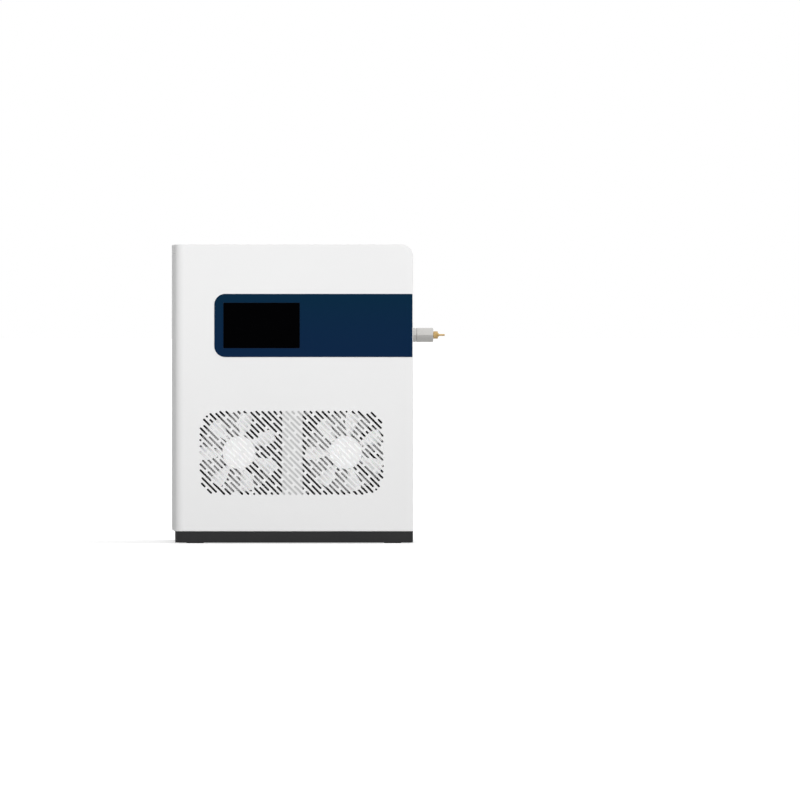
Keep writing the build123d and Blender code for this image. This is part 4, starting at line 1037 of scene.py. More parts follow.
class FansOperator(bpy.types.Operator):
    """Moulds the two fans: square frames with struts, and seven-bladed white rotors"""

    bl_idname = "spectrometer.fans"
    bl_label = "Fans"

    def execute(self, context):
        fans = context.scene.spectrometer_fans
        for side in ("left", "right"):
            self.frame(fans, side)
            self.rotor(fans, side)
        low, high = node_box("fan_bracket")
        plate = as_object("fan_mounting_plate", fresh(rounded_block, low, high, Y, 4.0))
        tools = bmesh.new()
        for side in ("left", "right"):
            centre = middle_of(f"fan_frame_{side}")
            start, end = (centre.x, low.y - 3, centre.z), (centre.x, high.y + 3, centre.z)
            rod(tools, start, end, fans.bore / MM + 3, 96)
        shape(plate, tools, "DIFFERENCE")
        piece(plate, "bracket_paint", replaces=["fan_bracket"], soft=0.25)
        return {"FINISHED"}

    def frame(self, fans, side):
        low, high = node_box(f"fan_frame_{side}")
        centre = (low + high) / 2
        flange, bore, wall = 4.0, fans.bore / MM, 2.5
        bm = fresh(rounded_block, low, (high.x, low.y + flange, high.z), Y, fans.corner / MM)
        body = as_object(f"fan_frame_{side}_moulding", bm)
        start, end = (centre.x, low.y + 1, centre.z), (centre.x, high.y, centre.z)
        barrel = fresh(rod, start, end, bore + wall, 96)
        shape(body, barrel, "UNION")
        lip, screw_hole, beyond = 2.5, 2.2, high.y - low.y + 3
        mouth = ((0, -3), (bore + lip, -3), (bore + lip, 0), (bore + lip * 0.3, lip * 0.7),
                 (bore, lip * 2.2), (bore, beyond), (0, beyond))
        duct = fresh(turned, mouth, (centre.x, low.y, centre.z), BACK, 96)
        for x, z in screw_spots(fans, side):
            rod(duct, (x, low.y - 1, z), (x, low.y + flange + 1, z), screw_hole, 24)
        shape(body, duct, "DIFFERENCE")
        spider = bmesh.new()
        for quarter in range(4):
            angle = math.radians(45 + 90 * quarter)
            own = bmesh.new()
            block(own, (26, -3.5, 0), (bore + 1, 3.5, 4))
            turn = Matrix.Translation((centre.x, high.y, centre.z)) @ Matrix.Rotation(math.pi / 2, 4, "X")
            bmesh.ops.transform(own, matrix=turn @ Matrix.Rotation(angle, 4, "Z"), verts=own.verts)
            pour(own, spider)
        shape(body, spider, "UNION")
        boss = ((3.05, 0), (29, 0), (30, 1), (30, 4), (3.05, 4))
        shape(body, fresh(turned, boss, (centre.x, high.y, centre.z), FRONT, 64, ring=True), "UNION")
        piece(body, "fan_black", replaces=[f"fan_frame_{side}"], soft=0.3)

    def rotor(self, fans, side):
        low, high = node_box(f"fan_rotor_{side}")
        centre = middle_of(f"fan_frame_{side}")
        hub = fans.hub / MM
        depth = high.y - low.y
        local = Matrix.Translation((centre.x, low.y, centre.z)) @ Matrix(
            ((1, 0, 0, 0), (0, 0, -1, 0), (0, 1, 0, 0), (0, 0, 0, 1)))
        bm = bmesh.new()
        edge = 3.0
        bend = [(hub - edge + edge * math.sin(math.radians(a)), edge * (1 - math.cos(math.radians(a))))
                for a in range(0, 91, 15)]
        cap = [(0, 0.9), (7, 0.9), (8.2, 0.5), (hub - 9, 0.35), (hub - 7.5, 0.0)] + bend
        skirt = [(hub, 6), (hub - 0.4, 29.6), (hub - 1, 30), (hub - 2.6, 30), (hub - 2.6, 4), (3, 4),
                 (3, depth), (0, depth)]
        turned(bm, cap + skirt, (centre.x, low.y, centre.z), BACK, 72)
        rotor = as_object(f"fan_rotor_{side}_moulding", bm)
        blades = bmesh.new()
        for index in range(fans.blades):
            own = bmesh.new()
            thick = fan_blade(fans, own)
            turn = Matrix.Rotation(fans.phase + index * math.tau / fans.blades, 4, "Z")
            bmesh.ops.transform(own, matrix=local @ turn @ Matrix.Translation((0, 0, -16)), verts=own.verts)
            bmesh.ops.recalc_face_normals(own, faces=own.faces)
            bmesh.ops.solidify(own, geom=own.faces[:], thickness=thick)
            pour(own, blades)
        shape(rotor, blades, "UNION")
        piece(rotor, "fan_white", f"fan_{side}", [f"fan_rotor_{side}"], soft=0.35, sharp=38)


class ScrewsOperator(bpy.types.Operator):
    """Turns the pan-head screws of the fans and of the back panel"""

    bl_idname = "spectrometer.screws"
    bl_label = "Screws"

    def execute(self, context):
        fans = context.scene.spectrometer_fans
        radius, turn = 3.8, 0.4
        low, high = node_box("fan_screws")
        spots = [(x, high.y, z) for side in ("left", "right") for x, z in screw_spots(fans, side)]
        pan_screws("fan_screw_heads", spots, FRONT, radius, high.y - low.y, turn, node="fan_screws")
        low, high = node_box("panel_screws")
        columns, levels = (low.x + radius, high.x - radius), (40, 190, 340, 480)
        spots = [(x, low.y, z) for x in columns for z in levels]
        pan_screws("panel_screw_heads", spots, BACK, radius, high.y - low.y, turn, node="panel_screws")
        return {"FINISHED"}


# --- Fittings on the outside ----------------------------------------------------------------------


class TransferLineOperator(bpy.types.Operator):
    """Turns the heated transfer line, its flange on the chamber and the nut at its end"""

    bl_idname = "spectrometer.transfer_line"
    bl_label = "Transfer line"

    def execute(self, context):
        low, high = node_box("transfer_line")
        centre = (low + high) / 2
        wall = node_box("vacuum_chamber")[1].x
        panel = node_box("top_shell")[1].x
        sheath, core, tip = 12.5, 10.5, 2.5
        start, end = panel + 1 - wall, high.x - wall
        groove = sheath - 0.6
        profile = (
            (0, low.x - wall), (tip - 0.5, low.x - wall), (tip, low.x - wall + 0.6), (tip, 5), (core, 5),
            (core, start), (sheath - 0.5, start), (sheath, start + 0.5), (sheath, start + 7),
            (groove, start + 7.6), (groove, start + 9.4), (sheath, start + 10), (sheath, end - 1.6),
            (sheath - 0.5, end - 0.5), (sheath - 1.6, end), (8.4, end), (7.8, end - 0.8), (0, end - 0.8),
        )
        line = fresh(turned, profile, (wall, centre.y, centre.z), RIGHT, 96)
        made = as_object("transfer_line_turned", line)
        flange = wall + 10
        shape(made, fresh(rounded_block, (wall, low.y, low.z), (flange, high.y, high.z), X, 10), "UNION")
        piece(made, "stainless", replaces=["transfer_line"], soft=0.2, sharp=40)
        reach = (high.y - low.y) / 2 - 7.5
        spots = [(flange, centre.y + dy * reach, centre.z + dz * reach) for dy, dz in CORNERS]
        socket_screws("transfer_line_screws", spots, RIGHT, 3.6, 3.5)
        self.nut(centre)
        return {"FINISHED"}

    @staticmethod
    def nut(centre):
        """The hexagon nut that grips the column, with its ferrule stub."""
        low, high = node_box("transfer_line_nut")
        length, radius, crown, tube, reach = 8.0, 6.5, 5.4, 1.6, high.x - low.x
        start = (low.x, centre.y, centre.z)
        nut = as_object("column_nut", fresh(rod, start, (low.x + length, centre.y, centre.z), radius, 6))
        chamfers = ((0, -0.2), (crown, -0.2), (radius + 0.1, 0.9), (radius + 0.1, length - 0.9),
                    (crown, length + 0.2), (0, length + 0.2))
        shape(nut, fresh(turned, chamfers, start, RIGHT, 64), "INTERSECT")
        stub = ((0, 2), (tube + 1.4, 2), (tube + 1.4, length + 1.2), (tube + 0.6, length + 2),
                (tube, length + 2), (tube, reach - 0.4), (tube - 0.4, reach), (0, reach))
        shape(nut, fresh(turned, stub, start, RIGHT, 40), "UNION")
        piece(nut, "brass_fittings", replaces=["transfer_line_nut"], soft=0.1)


class SocketsOperator(bpy.types.Operator):
    """Moulds the mains inlet, switch, network and remote sockets and the foreline pipe on the back"""

    bl_idname = "spectrometer.sockets"
    bl_label = "Fittings on the back"

    def execute(self, context):
        self.face = node_box("back_panel")[1].y
        self.mains()
        self.switch()
        self.network()
        self.remote()
        self.foreline()
        return {"FINISHED"}

    def mains(self):
        low, high = node_box("mains_inlet")
        x, _, z = (low + high) / 2
        bm = fresh(rounded_block, (low.x, self.face, low.z), high, Y, 4.0)
        inlet = as_object("mains_inlet_moulding", bm)
        body = fresh(rounded_block, (x - 14, low.y, z - 12), (x + 14, self.face + 1, z + 12), Y, 1.5)
        shape(inlet, body, "UNION")
        half, low_edge, shoulder, top, depth = 12, z - 8, z + 4, z + 8, high.y - 17
        outline = [(x - half, low_edge), (x + half, low_edge), (x + half, shoulder), (x + 8, top),
                   (x - 8, top), (x - half, shoulder)]
        mouth = fresh(prism, outline, depth, high.y + 1, Y)
        countersink = ((0, -4), (1.7, -4), (1.7, -1.6), (3.3, 0.02), (3.3, 1), (0, 1))
        ears = [x + side * 20 for side in SIDES]
        for ear in ears:
            turned(mouth, countersink, (ear, high.y, z), BACK, 32)
        shape(inlet, mouth, "DIFFERENCE")
        start, end = (x - 9.6, depth - 1, z - 5.6), (x + 9.6, depth + 0.8, z + 5.6)
        tongue = fresh(rounded_block, start, end, Y, 2.0)
        shape(inlet, tongue, "UNION")
        piece(inlet, "black_plastic", replaces=["mains_inlet"], soft=0.3)
        pins = bmesh.new()
        for right, up in ((-7, -2), (0, 2), (7, -2)):
            start = (x + right - 1, depth, z + up - 2)
            end = (x + right + 1, high.y - 6, z + up + 2)
            rounded_block(pins, start, end, Y, 0.4, 3)
        piece(as_object("mains_inlet_pins", pins), "brass_fittings", soft=0.3)
        spots = [(ear, high.y - 1.4, z) for ear in ears]
        pan_screws("mains_inlet_screws", spots, BACK, 2.9, 1.2, turn=1.0, first=-0.5)

    def switch(self):
        low, high = node_box("switch_bezel")
        x, _, z = (low + high) / 2
        axle, axle_radius, axle_reach = self.face - 4, 1.5, 13
        start, end = (x - axle_reach, axle, z), (x + axle_reach, axle, z)
        bm = fresh(rounded_block, (low.x, self.face, low.z), high, Y, 2.0)
        bezel = as_object("switch_bezel_moulding", bm)
        shape(bezel, fresh(block, (x - 14, low.y, z - 10), (x + 14, self.face + 1, z + 10)), "UNION")
        mouth = fresh(rounded_block, (x - 12, low.y + 2, z - 8), (x + 12, high.y + 2, z + 8), Y, 0.8, 4)
        rod(mouth, start, end, axle_radius + 0.05, 40)
        shape(bezel, mouth, "DIFFERENCE")
        piece(bezel, "black_plastic", replaces=["switch_bezel"], soft=0.35)

        half, tilt = 11.6, math.radians(9)
        outline = [(-4, -2), (2, -6.4)] + arc((29.5, 0), 22.5, 196.5, 163.5, 14) + [(2, 6.4), (-4, 2)]
        turn = Matrix.Translation((0, axle, z)) @ Matrix.Rotation(tilt, 4, "X")
        bm = fresh(prism, outline, x - half, x + half, X)
        bmesh.ops.transform(bm, matrix=turn, verts=bm.verts)
        rocker = as_object("switch_rocker_moulding", bm)
        shape(rocker, fresh(rod, start, end, axle_radius, 32), "UNION")
        piece(rocker, "black_plastic", "power_rocker", ["switch_rocker"], soft=0.3)
        marks = fresh(block, (x - 0.35, 7.05, 2.3), (x + 0.35, 7.22, 4.9))
        ring = fresh(turned, ((1.0, 0), (1.0, 0.2), (1.5, 0.2), (1.5, 0)), (0, 0, 0), UP, 32, ring=True)
        place = Matrix.Translation((x, 7.0, -3.6)) @ Matrix.Rotation(-math.pi / 2, 4, "X")
        bmesh.ops.transform(ring, matrix=place, verts=ring.verts)
        pour(ring, marks)
        bmesh.ops.transform(marks, matrix=turn, verts=marks.verts)
        piece(as_object("switch_marks", marks), "white_ceramic", "power_rocker")

    def network(self):
        low, high = node_box("lan_port")
        x, _, z = (low + high) / 2
        depth, outside = high.y - 13, high.y + 1
        port = as_object("network_socket", fresh(rounded_block, low, high, Y, 0.6, 3))
        mouth = fresh(block, (x - 6, depth, z - 4), (x + 6, outside, z + 4))
        block(mouth, (x - 3, depth, z + 3.5), (x + 3, outside, z + 6))
        shape(port, mouth, "DIFFERENCE", crossing=True)
        piece(port, "black_plastic", replaces=["lan_port"], soft=0.2)
        count, pitch, half = 8, 1.02, 0.18
        turn = Matrix.Translation((0, high.y - 2.2, z - 3.6)) @ Matrix.Rotation(math.radians(-16), 4, "X")
        wires = bmesh.new()
        for index in range(count):
            at = x + (index - (count - 1) / 2) * pitch
            own = fresh(block, (at - half, -9.5, -0.2), (at + half, 0, 0.2))
            bmesh.ops.transform(own, matrix=turn, verts=own.verts)
            pour(own, wires)
        piece(as_object("network_contacts", wires), "brass_fittings")

    def remote(self):
        low, high = node_box("remote_port")
        x, _, z = (low + high) / 2
        plate, outside = self.face + 1, high.y + 1
        bm = fresh(rounded_block, (low.x, self.face, low.z), (high.x, plate, high.z), Y, 2.0)
        port = as_object("remote_socket", bm)
        outline = [(x - 8.3, z + 4.1), (x + 8.3, z + 4.1), (x + 7, z - 4.1), (x - 7, z - 4.1)]
        shell = fresh(prism, outline, self.face - 2, high.y, Y)
        round_edges(shell, edges_along(shell, Y), 1.6, 5)
        shape(port, shell, "UNION")
        shape(port, fresh(block, (x - 10, low.y, z - 5), (x + 10, self.face + 0.5, z + 5)), "UNION")
        pitch, row_height, hole = 2.76, 1.42, 0.62
        holes = bmesh.new()
        for count, level in ((5, z + row_height), (4, z - row_height)):
            for index in range(count):
                at = x + (index - (count - 1) / 2) * pitch
                rod(holes, (at, high.y - 5, level), (at, outside, level), hole, 16)
        shape(port, holes, "DIFFERENCE")
        piece(port, "gauge_case", replaces=["remote_port"], soft=0.2)
        posts, threads = bmesh.new(), bmesh.new()
        for at in (x - 12.5, x + 12.5):
            rod(posts, (at, plate, z), (at, high.y - 0.5, z), 2.3, 6)
            rod(threads, (at, high.y - 4, z), (at, outside, z), 1.1, 20)
        jack = as_object("remote_socket_posts", posts)
        shape(jack, threads, "DIFFERENCE")
        piece(jack, "screw_steel", soft=0.15)

    @staticmethod
    def foreline():
        low, high = node_box("foreline_pipe")
        x, _, z = (low + high) / 2
        run, bore, pipe, flange = high.y - low.y, 6, 8, 15
        profile = ((bore, 0), (pipe, 0), (pipe, run - 7.5), (8.9, run - 5.6), (flange - 0.1, run - 2.9),
                   (flange, run - 2.7), (flange, run - 0.4), (flange - 0.4, run), (8.7, run),
                   (8.6, run - 1.8), (bore, run - 1.8))
        made = as_object("foreline_pipe_turned", fresh(turned, profile, (x, low.y, z), BACK, 80, ring=True))
        piece(made, "stainless", replaces=["foreline_pipe"], sharp=28)


class HingesOperator(bpy.types.Operator):
    """Rolls the knuckles of the door's two hinges and punches their leaves"""

    bl_idname = "spectrometer.hinges"
    bl_label = "Hinges and magnets"

    def execute(self, context):
        knuckle, edge, pin, bore, leaf_sheet = 3.0, 0.3, 1.5, 1.55, 1.5
        round_edge = knuckle - edge
        for level in ("lower", "upper"):
            low, high = node_box(f"hinge_{level}_frame_leaf")
            axis_x, axis_y = low.x + knuckle, low.y + knuckle
            full = high.z - low.z
            half = full / 2
            foot = (axis_x, axis_y, low.z)
            profile = ((0, 0), (round_edge, 0), (knuckle, edge), (knuckle, half - edge), (round_edge, half),
                       (pin, half), (pin, full - 0.4), (1.1, full), (0, full))
            leaf = as_object(f"hinge_{level}_frame_side", fresh(turned, profile, foot, UP, 40))
            face = axis_y + knuckle
            plate = fresh(block, (axis_x, face - leaf_sheet, low.z), (high.x, face, low.z + half))
            shape(leaf, plate, "UNION")
            self.punch(leaf, [(high.x - 6, face, low.z + half * share) for share in (0.27, 0.73)], Y)
            piece(leaf, "hinge_steel", replaces=[f"hinge_{level}_frame_leaf"], soft=0.15)

            low, high = node_box(f"hinge_{level}_door_leaf")
            height = high.z - low.z
            profile = ((bore, 0), (round_edge, 0), (knuckle, edge), (knuckle, height - edge),
                       (round_edge, height), (bore, height))
            foot = (axis_x, axis_y, low.z)
            leaf = as_object(f"hinge_{level}_door_side", fresh(turned, profile, foot, UP, 40, ring=True))
            face = low.x + leaf_sheet
            shape(leaf, fresh(block, low, (face, axis_y, high.z)), "UNION")
            self.punch(leaf, [(face, low.y + 7, low.z + height * share) for share in (0.27, 0.73)], X)
            piece(leaf, "hinge_steel", "service_door", [f"hinge_{level}_door_leaf"], soft=0.15)
        return {"FINISHED"}

    @staticmethod
    def punch(leaf, spots, axis):
        """Countersunk holes that open towards the higher side of an axis."""
        out = Vector((0, 0, 0))
        out[axis] = 1
        countersink = ((0, -3), (1.3, -3), (1.3, -0.9), (2.4, 0.05), (2.4, 1), (0, 1))
        holes = bmesh.new()
        for spot in spots:
            turned(holes, countersink, spot, out, 28)
        shape(leaf, holes, "DIFFERENCE")


# --- Vacuum system --------------------------------------------------------------------------------


class ChamberOperator(bpy.types.Operator):
    """Mills the vacuum chamber, its ribbed lid and the lid's cap screws"""

    bl_idname = "spectrometer.chamber"
    bl_label = "Vacuum chamber"

    def execute(self, context):
        wall, corner = 15.0, 6.0
        self.body(wall, corner)
        self.lid(wall, corner)
        return {"FINISHED"}

    @staticmethod
    def body(wall, corner):
        low, high = node_box("vacuum_chamber")
        chamber = as_object("vacuum_chamber_milled", fresh(rounded_block, low, high, X, corner))
        inner_low = (low.x - 5, low.y + wall, low.z + wall)
        inner_high = (high.x - wall, high.y - wall, high.z - wall)
        tools = fresh(rounded_block, inner_low, inner_high, X, corner)
        block(tools, (low.x + 30, low.y - 5, high.z - 34), (high.x - 12, low.y + 2, high.z - 12))
        pump, line = middle_of("pump_rotor"), middle_of("transfer_line_nut")
        pump_port, line_port = 50, 8
        rod(tools, (pump.x, pump.y, low.z - 5), (pump.x, pump.y, low.z + wall + 5), pump_port, 96)
        rod(tools, (high.x - wall - 5, line.y, line.z), (high.x + 5, line.y, line.z), line_port, 48)
        shape(chamber, tools, "DIFFERENCE")
        piece(chamber, "machined_aluminium", replaces=["vacuum_chamber"], soft=0.5)

    @staticmethod
    def lid(wall, corner):
        low, high = node_box("chamber_lid")
        middle = (low + high) / 2
        plate, rib_count, rib_half, seat = 12.0, 4, 3.0, 6.2
        face = high.x - plate
        lid = as_object("chamber_lid_milled", fresh(rounded_block, (face, low.y, low.z), high, X, corner))
        ribs = bmesh.new()
        spacing = (high.y - low.y) / (rib_count + 1)
        for index in range(rib_count):
            y = middle.y + (index - (rib_count - 1) / 2) * spacing
            start, end = (low.x, y - rib_half, low.z + wall), (face + 1, y + rib_half, high.z - wall)
            rounded_block(ribs, start, end, X, 2.9, 6)
        shape(lid, ribs, "UNION")
        reach = (high - low) / 2 - Vector((0, 7, 7))
        spots = [(face, middle.y + y * reach.y, middle.z + z * reach.z) for y in (-1, 0, 1) for z in SIDES]
        seats = bmesh.new()
        for _, y, z in spots:
            rod(seats, (face - 1, y, z), (face + 0.5, y, z), seat, 40)
        shape(lid, seats, "DIFFERENCE")
        piece(lid, "machined_aluminium", replaces=["chamber_lid"], soft=0.4)
        bolt_low, bolt_high = node_box("lid_bolts")
        height = bolt_high.x - bolt_low.x
        socket_screws("lid_cap_screws", spots, LEFT, 5.0, height, soft=0.15, node="lid_bolts")


class ChamberFittingsOperator(bpy.types.Operator):
    """Turns the vent valve and its fluted knob, the ion gauge and the feedthrough"""

    bl_idname = "spectrometer.chamber_fittings"
    bl_label = "Chamber fittings"

    def execute(self, context):
        self.valve()
        self.gauge()
        self.feedthrough()
        return {"FINISHED"}

    @staticmethod
    def valve():
        low, high = node_box("vent_valve")
        x, _, z = (low + high) / 2
        reach, bore, hexagon, shank = high.y - low.y, 3.05, 9, 7.0
        valve = as_object("vent_valve_body", fresh(rod, (x, high.y, z), (x, low.y, z), hexagon, 6))
        across = hexagon + 0.1
        crown = ((bore, -0.1), (across, -0.1), (across, 6.2), (7.9, 7.0), (shank, 7.2),
                 (shank, reach + 0.1), (bore, reach + 0.1))
        shape(valve, fresh(turned, crown, (x, high.y, z), FRONT, 64, ring=True), "INTERSECT")
        piece(valve, "brass_fittings", replaces=["vent_valve"], soft=0.2)

        low, high = node_box("vent_knob")
        knob, length, flutes, stem = (high.x - low.x) / 2, 14.0, 10, 3.0
        profile = ((0, 0), (knob - 1.2, 0), (knob, 1.2), (knob, length - 2.5), (knob - 0.8, length - 0.8),
                   (knob - 2.5, length), (5, length), (4.2, length - 0.8), (0, length - 0.8))
        grip = fresh(turned, profile, (x, low.y + length, z), FRONT, 96)
        made = as_object("vent_knob_moulding", grip)
        cutters = bmesh.new()
        for index in range(flutes):
            angle = math.tau * (index + 0.5) / flutes
            at_x, at_z = x + (knob + 1.3) * math.cos(angle), z + (knob + 1.3) * math.sin(angle)
            rod(cutters, (at_x, low.y - 1, at_z), (at_x, low.y + length - 2.5, at_z), 3.0, 28)
        shape(made, cutters, "DIFFERENCE")
        shape(made, fresh(rod, (x, low.y + 5, z), (x, high.y, z), stem, 32), "UNION")
        piece(made, "black_plastic", "vent_knob_body", ["vent_knob"], soft=0.4)

    @staticmethod
    def gauge():
        low, high = node_box("ion_gauge")
        x, y, _ = (low + high) / 2
        flange, rim, waist, neck = 17.0, 16.0, 12.5, 18.0
        profile = ((0, 0), (flange, 0), (flange, 3.5), (flange - 1.5, 4.5), (waist, 6), (waist, neck - 4),
                   (rim, neck - 2), (rim, neck + 1), (0, neck + 1))
        gauge = as_object("ion_gauge_case", fresh(turned, profile, (x, y, low.z), UP, 72))
        shape(gauge, fresh(rounded_block, (low.x, low.y, low.z + neck), high, Z, 5.0), "UNION")
        vent_count, vent_pitch, vent_height, plug = 5, 5, 2, 6
        vents = bmesh.new()
        for row in range(vent_count):
            z = low.z + neck + 9 + row * vent_pitch
            block(vents, (low.x - 1, y - 12, z), (low.x + 1.2, y + 12, z + vent_height))
        rod(vents, (x, y, high.z - 3), (x, y, high.z + 1), plug + 1.5, 40)
        shape(gauge, vents, "DIFFERENCE")
        profile = ((0, -3), (plug, -3), (plug, -0.6), (plug - 0.6, 0), (0, 0))
        shape(gauge, fresh(turned, profile, (x, y, high.z), UP, 40), "UNION")
        piece(gauge, "gauge_case", replaces=["ion_gauge"], soft=0.4)

    @staticmethod
    def feedthrough():
        low, high = node_box("rf_feedthrough")
        x, y, _ = (low + high) / 2
        plate, tall, pin, shed, waist = 6, high.z - low.z, 1.5, 5, 3.8
        spots = [(x + side * 9, y, low.z) for side in SIDES]
        bm = fresh(rounded_block, low, (high.x, high.y, low.z + plate), Z, 8.0)
        flange = as_object("feedthrough_flange", bm)
        pins, posts = bmesh.new(), bmesh.new()
        insulator = [(pin + 0.1, plate), (shed, plate)]
        for level in (8, 11.5, 15):
            insulator += [(shed, level), (waist, level + 1), (shed, level + 2)]
        insulator[-1:] = [(4.6, 17), (4.2, 19.8), (3.6, 20), (pin + 0.1, 20)]
        for spot in spots:
            turned(pins, ((0, 5), (pin, 5), (pin, tall - 0.5), (1, tall), (0, tall)), spot, UP, 24)
            turned(posts, insulator, spot, UP, 40, ring=True)
        shape(flange, pins, "UNION")
        piece(flange, "stainless", replaces=["rf_feedthrough"], soft=0.25)
        piece(as_object("feedthrough_insulators", posts), "white_ceramic", soft=0.2)
        spots = [(x + right * 15.5, y + back * 15.5, low.z + plate) for right, back in CORNERS]
        socket_screws("feedthrough_screws", spots, UP, 3.2, 3)


class PumpOperator(bpy.types.Operator):
    """Turns the turbo pump's finned housing on its square base"""

    bl_idname = "spectrometer.pump"
    bl_label = "Turbo pump"

    def execute(self, context):
        low, high = node_box("pump_housing")
        x, y, _ = (low + high) / 2
        flange, body, bore, bearing, edge = 62.0, 56.0, 48.0, 6.05, 0.6
        top = high.z - low.z
        shoulder, neck, floor, seat = 190.0 - low.z, top - 12.0, 200.0 - low.z, 180.0 - low.z
        fin_count, fin_pitch, root = 6, 11, body - 4
        profile = [(bearing, seat), (bearing, floor), (bore, floor), (bore, top), (flange - edge, top),
                   (flange, top - edge), (flange, neck + edge), (flange - edge, neck), (root, neck)]
        for index in range(fin_count):
            level = neck - 8 - fin_pitch * index
            profile += [(root, level), (body, level - 1), (body, level - 5), (root, level - 6)]
        profile += [(root, shoulder), (root, shoulder - 4), (bearing, shoulder - 4)]
        pump = as_object("turbo_pump_housing", fresh(turned, profile, (x, y, low.z), UP, 96, ring=True))
        half, corner = 46.0, 14.0
        base = fresh(block, (x - half, y - half, low.z), (x + half, y + half, low.z + shoulder))
        round_edges(base, edges_along(base, Z), corner, 1)
        shape(pump, base, "UNION")
        grooves = bmesh.new()
        for level in range(3):
            z = low.z + 14 + 16 * level
            block(grooves, (x - half - 1, y - 26, z), (x - half + 2.5, y + 26, z + 6))
        rod(grooves, (x, y, low.z + seat), (x, y, low.z + floor + 5), bearing, 40)
        shape(pump, grooves, "DIFFERENCE")
        piece(pump, "pump_aluminium", replaces=["pump_housing"], soft=0.4)
        return {"FINISHED"}


# --- Electronics and frame ------------------------------------------------------------------------


class ElectronicsOperator(bpy.types.Operator):
    """Makes the cased supplies with their fins and vents, and the populated main board"""

    bl_idname = "spectrometer.electronics"
    bl_label = "Electronics"

    def execute(self, context):
        self.finned_case("rf_generator", 9, 11.5, 16.0)
        self.finned_case("pump_controller", 7, 9.0, 8.0)
        self.supply()
        self.board()
        return {"FINISHED"}

    @staticmethod
    def finned_case(node, count, spacing, height):
        """A case with a lid seam, two screw holes and a row of cooling fins."""
        low, high = node_box(node)
        centre = (low + high) / 2
        roof, fin_half, inset = high.z - height, 1.5, 6
        case = as_object(f"{node}_case", fresh(rounded_block, low, (high.x, high.y, roof), Z, 4.0))
        fins = bmesh.new()
        for index in range(count):
            x = centre.x + (index - (count - 1) / 2) * spacing
            start, end = (x - fin_half, low.y + inset, roof - 1), (x + fin_half, high.y - inset, high.z)
            rounded_block(fins, start, end, X, 3.0, 5)
        shape(case, fins, "UNION")
        z = roof - 12
        seam = fresh(block, (low.x - 1, low.y - 1, z), (low.x + 0.6, high.y + 1, z + 0.8))
        for y in (low.y + 14, high.y - 14):
            rod(seam, (low.x - 1, y, z - 8), (low.x + 1.5, y, z - 8), 2.4, 24)
        shape(case, seam, "DIFFERENCE")
        piece(case, "case_steel", replaces=[node], soft=0.3)

    @staticmethod
    def supply():
        low, high = node_box("power_supply")
        centre = (low + high) / 2
        case = as_object("power_supply_case", fresh(rounded_block, low, high, Z, 1.5, 4))
        count, pitch, row_offset, vent_length, vent_width = 9, 10, 25, 36, 4
        vents = bmesh.new()
        for column in range(count):
            for side in SIDES:
                x = centre.x + (column - (count - 1) / 2) * pitch
                at = Matrix.Translation((x, centre.y + side * row_offset, high.z))
                slot_tool(vents, at, vent_length, vent_width, chamfered(2, 0.3, 1), 14)
        shape(case, vents, "DIFFERENCE")
        piece(case, "case_steel", replaces=["power_supply"], soft=0.3)

    @staticmethod
    def board():
        """The laminate with a processor, memory, headers and capacitors, on its posts."""
        low, high = node_box("main_board")
        face = high.x - 1.6
        board = as_object("main_board_laminate", fresh(rounded_block, (face, low.y, low.z), high, X, 3.0))
        piece(board, "circuit_board", replaces=["main_board"], soft=0.1)
        _, y, z = (low + high) / 2
        chips = bmesh.new()

        def chip(across, up, half_width, half_height, corner):
            start = (face - 3, y + across - half_width, z + up - half_height)
            end = (face, y + across + half_width, z + up + half_height)
            rounded_block(chips, start, end, X, corner, 3)

        chip(-35, 30, 18, 18, 0.6)
        grid = [(column, row - 0.5) for column in (-1, 0, 1) for row in range(2)]
        for column, row in grid:
            chip(30 + column * 22, 40 + row * 26, 7, 9, 0.5)
        for column in range(4):
            at = y + (column - 1.5) * 44
            pour(fresh(block, (face - 14, at - 15, z - 95), (face, at + 15, z - 85)), chips)
        piece(as_object("main_board_chips", chips), "black_plastic", soft=0.35)
        can, tall, vent = 7, 14, 13.7
        profile = ((0, 0), (can, 0), (can, 1.6), (can - 0.5, 2.1), (can, 2.6), (can, tall - 1), (6.3, tall),
                   (5.5, tall), (5.3, vent), (0, vent))
        cans = bmesh.new()
        for column, row in grid:
            turned(cans, profile, (face, y - 20 + column * 24, z - 40 + row * 24), LEFT, 40)
        piece(as_object("main_board_capacitors", cans), "gauge_case")
        low, high = node_box("board_standoffs")
        posts, post = bmesh.new(), 2.75
        for corner_y in (low.y + 2.8, high.y - 2.8):
            for corner_z in (low.z + 3, high.z - 3):
                rod(posts, (low.x, corner_y, corner_z), (high.x, corner_y, corner_z), post, 6)
        made = as_object("main_board_posts", posts)
        piece(made, "brass_fittings", replaces=["board_standoffs"], soft=0.2)


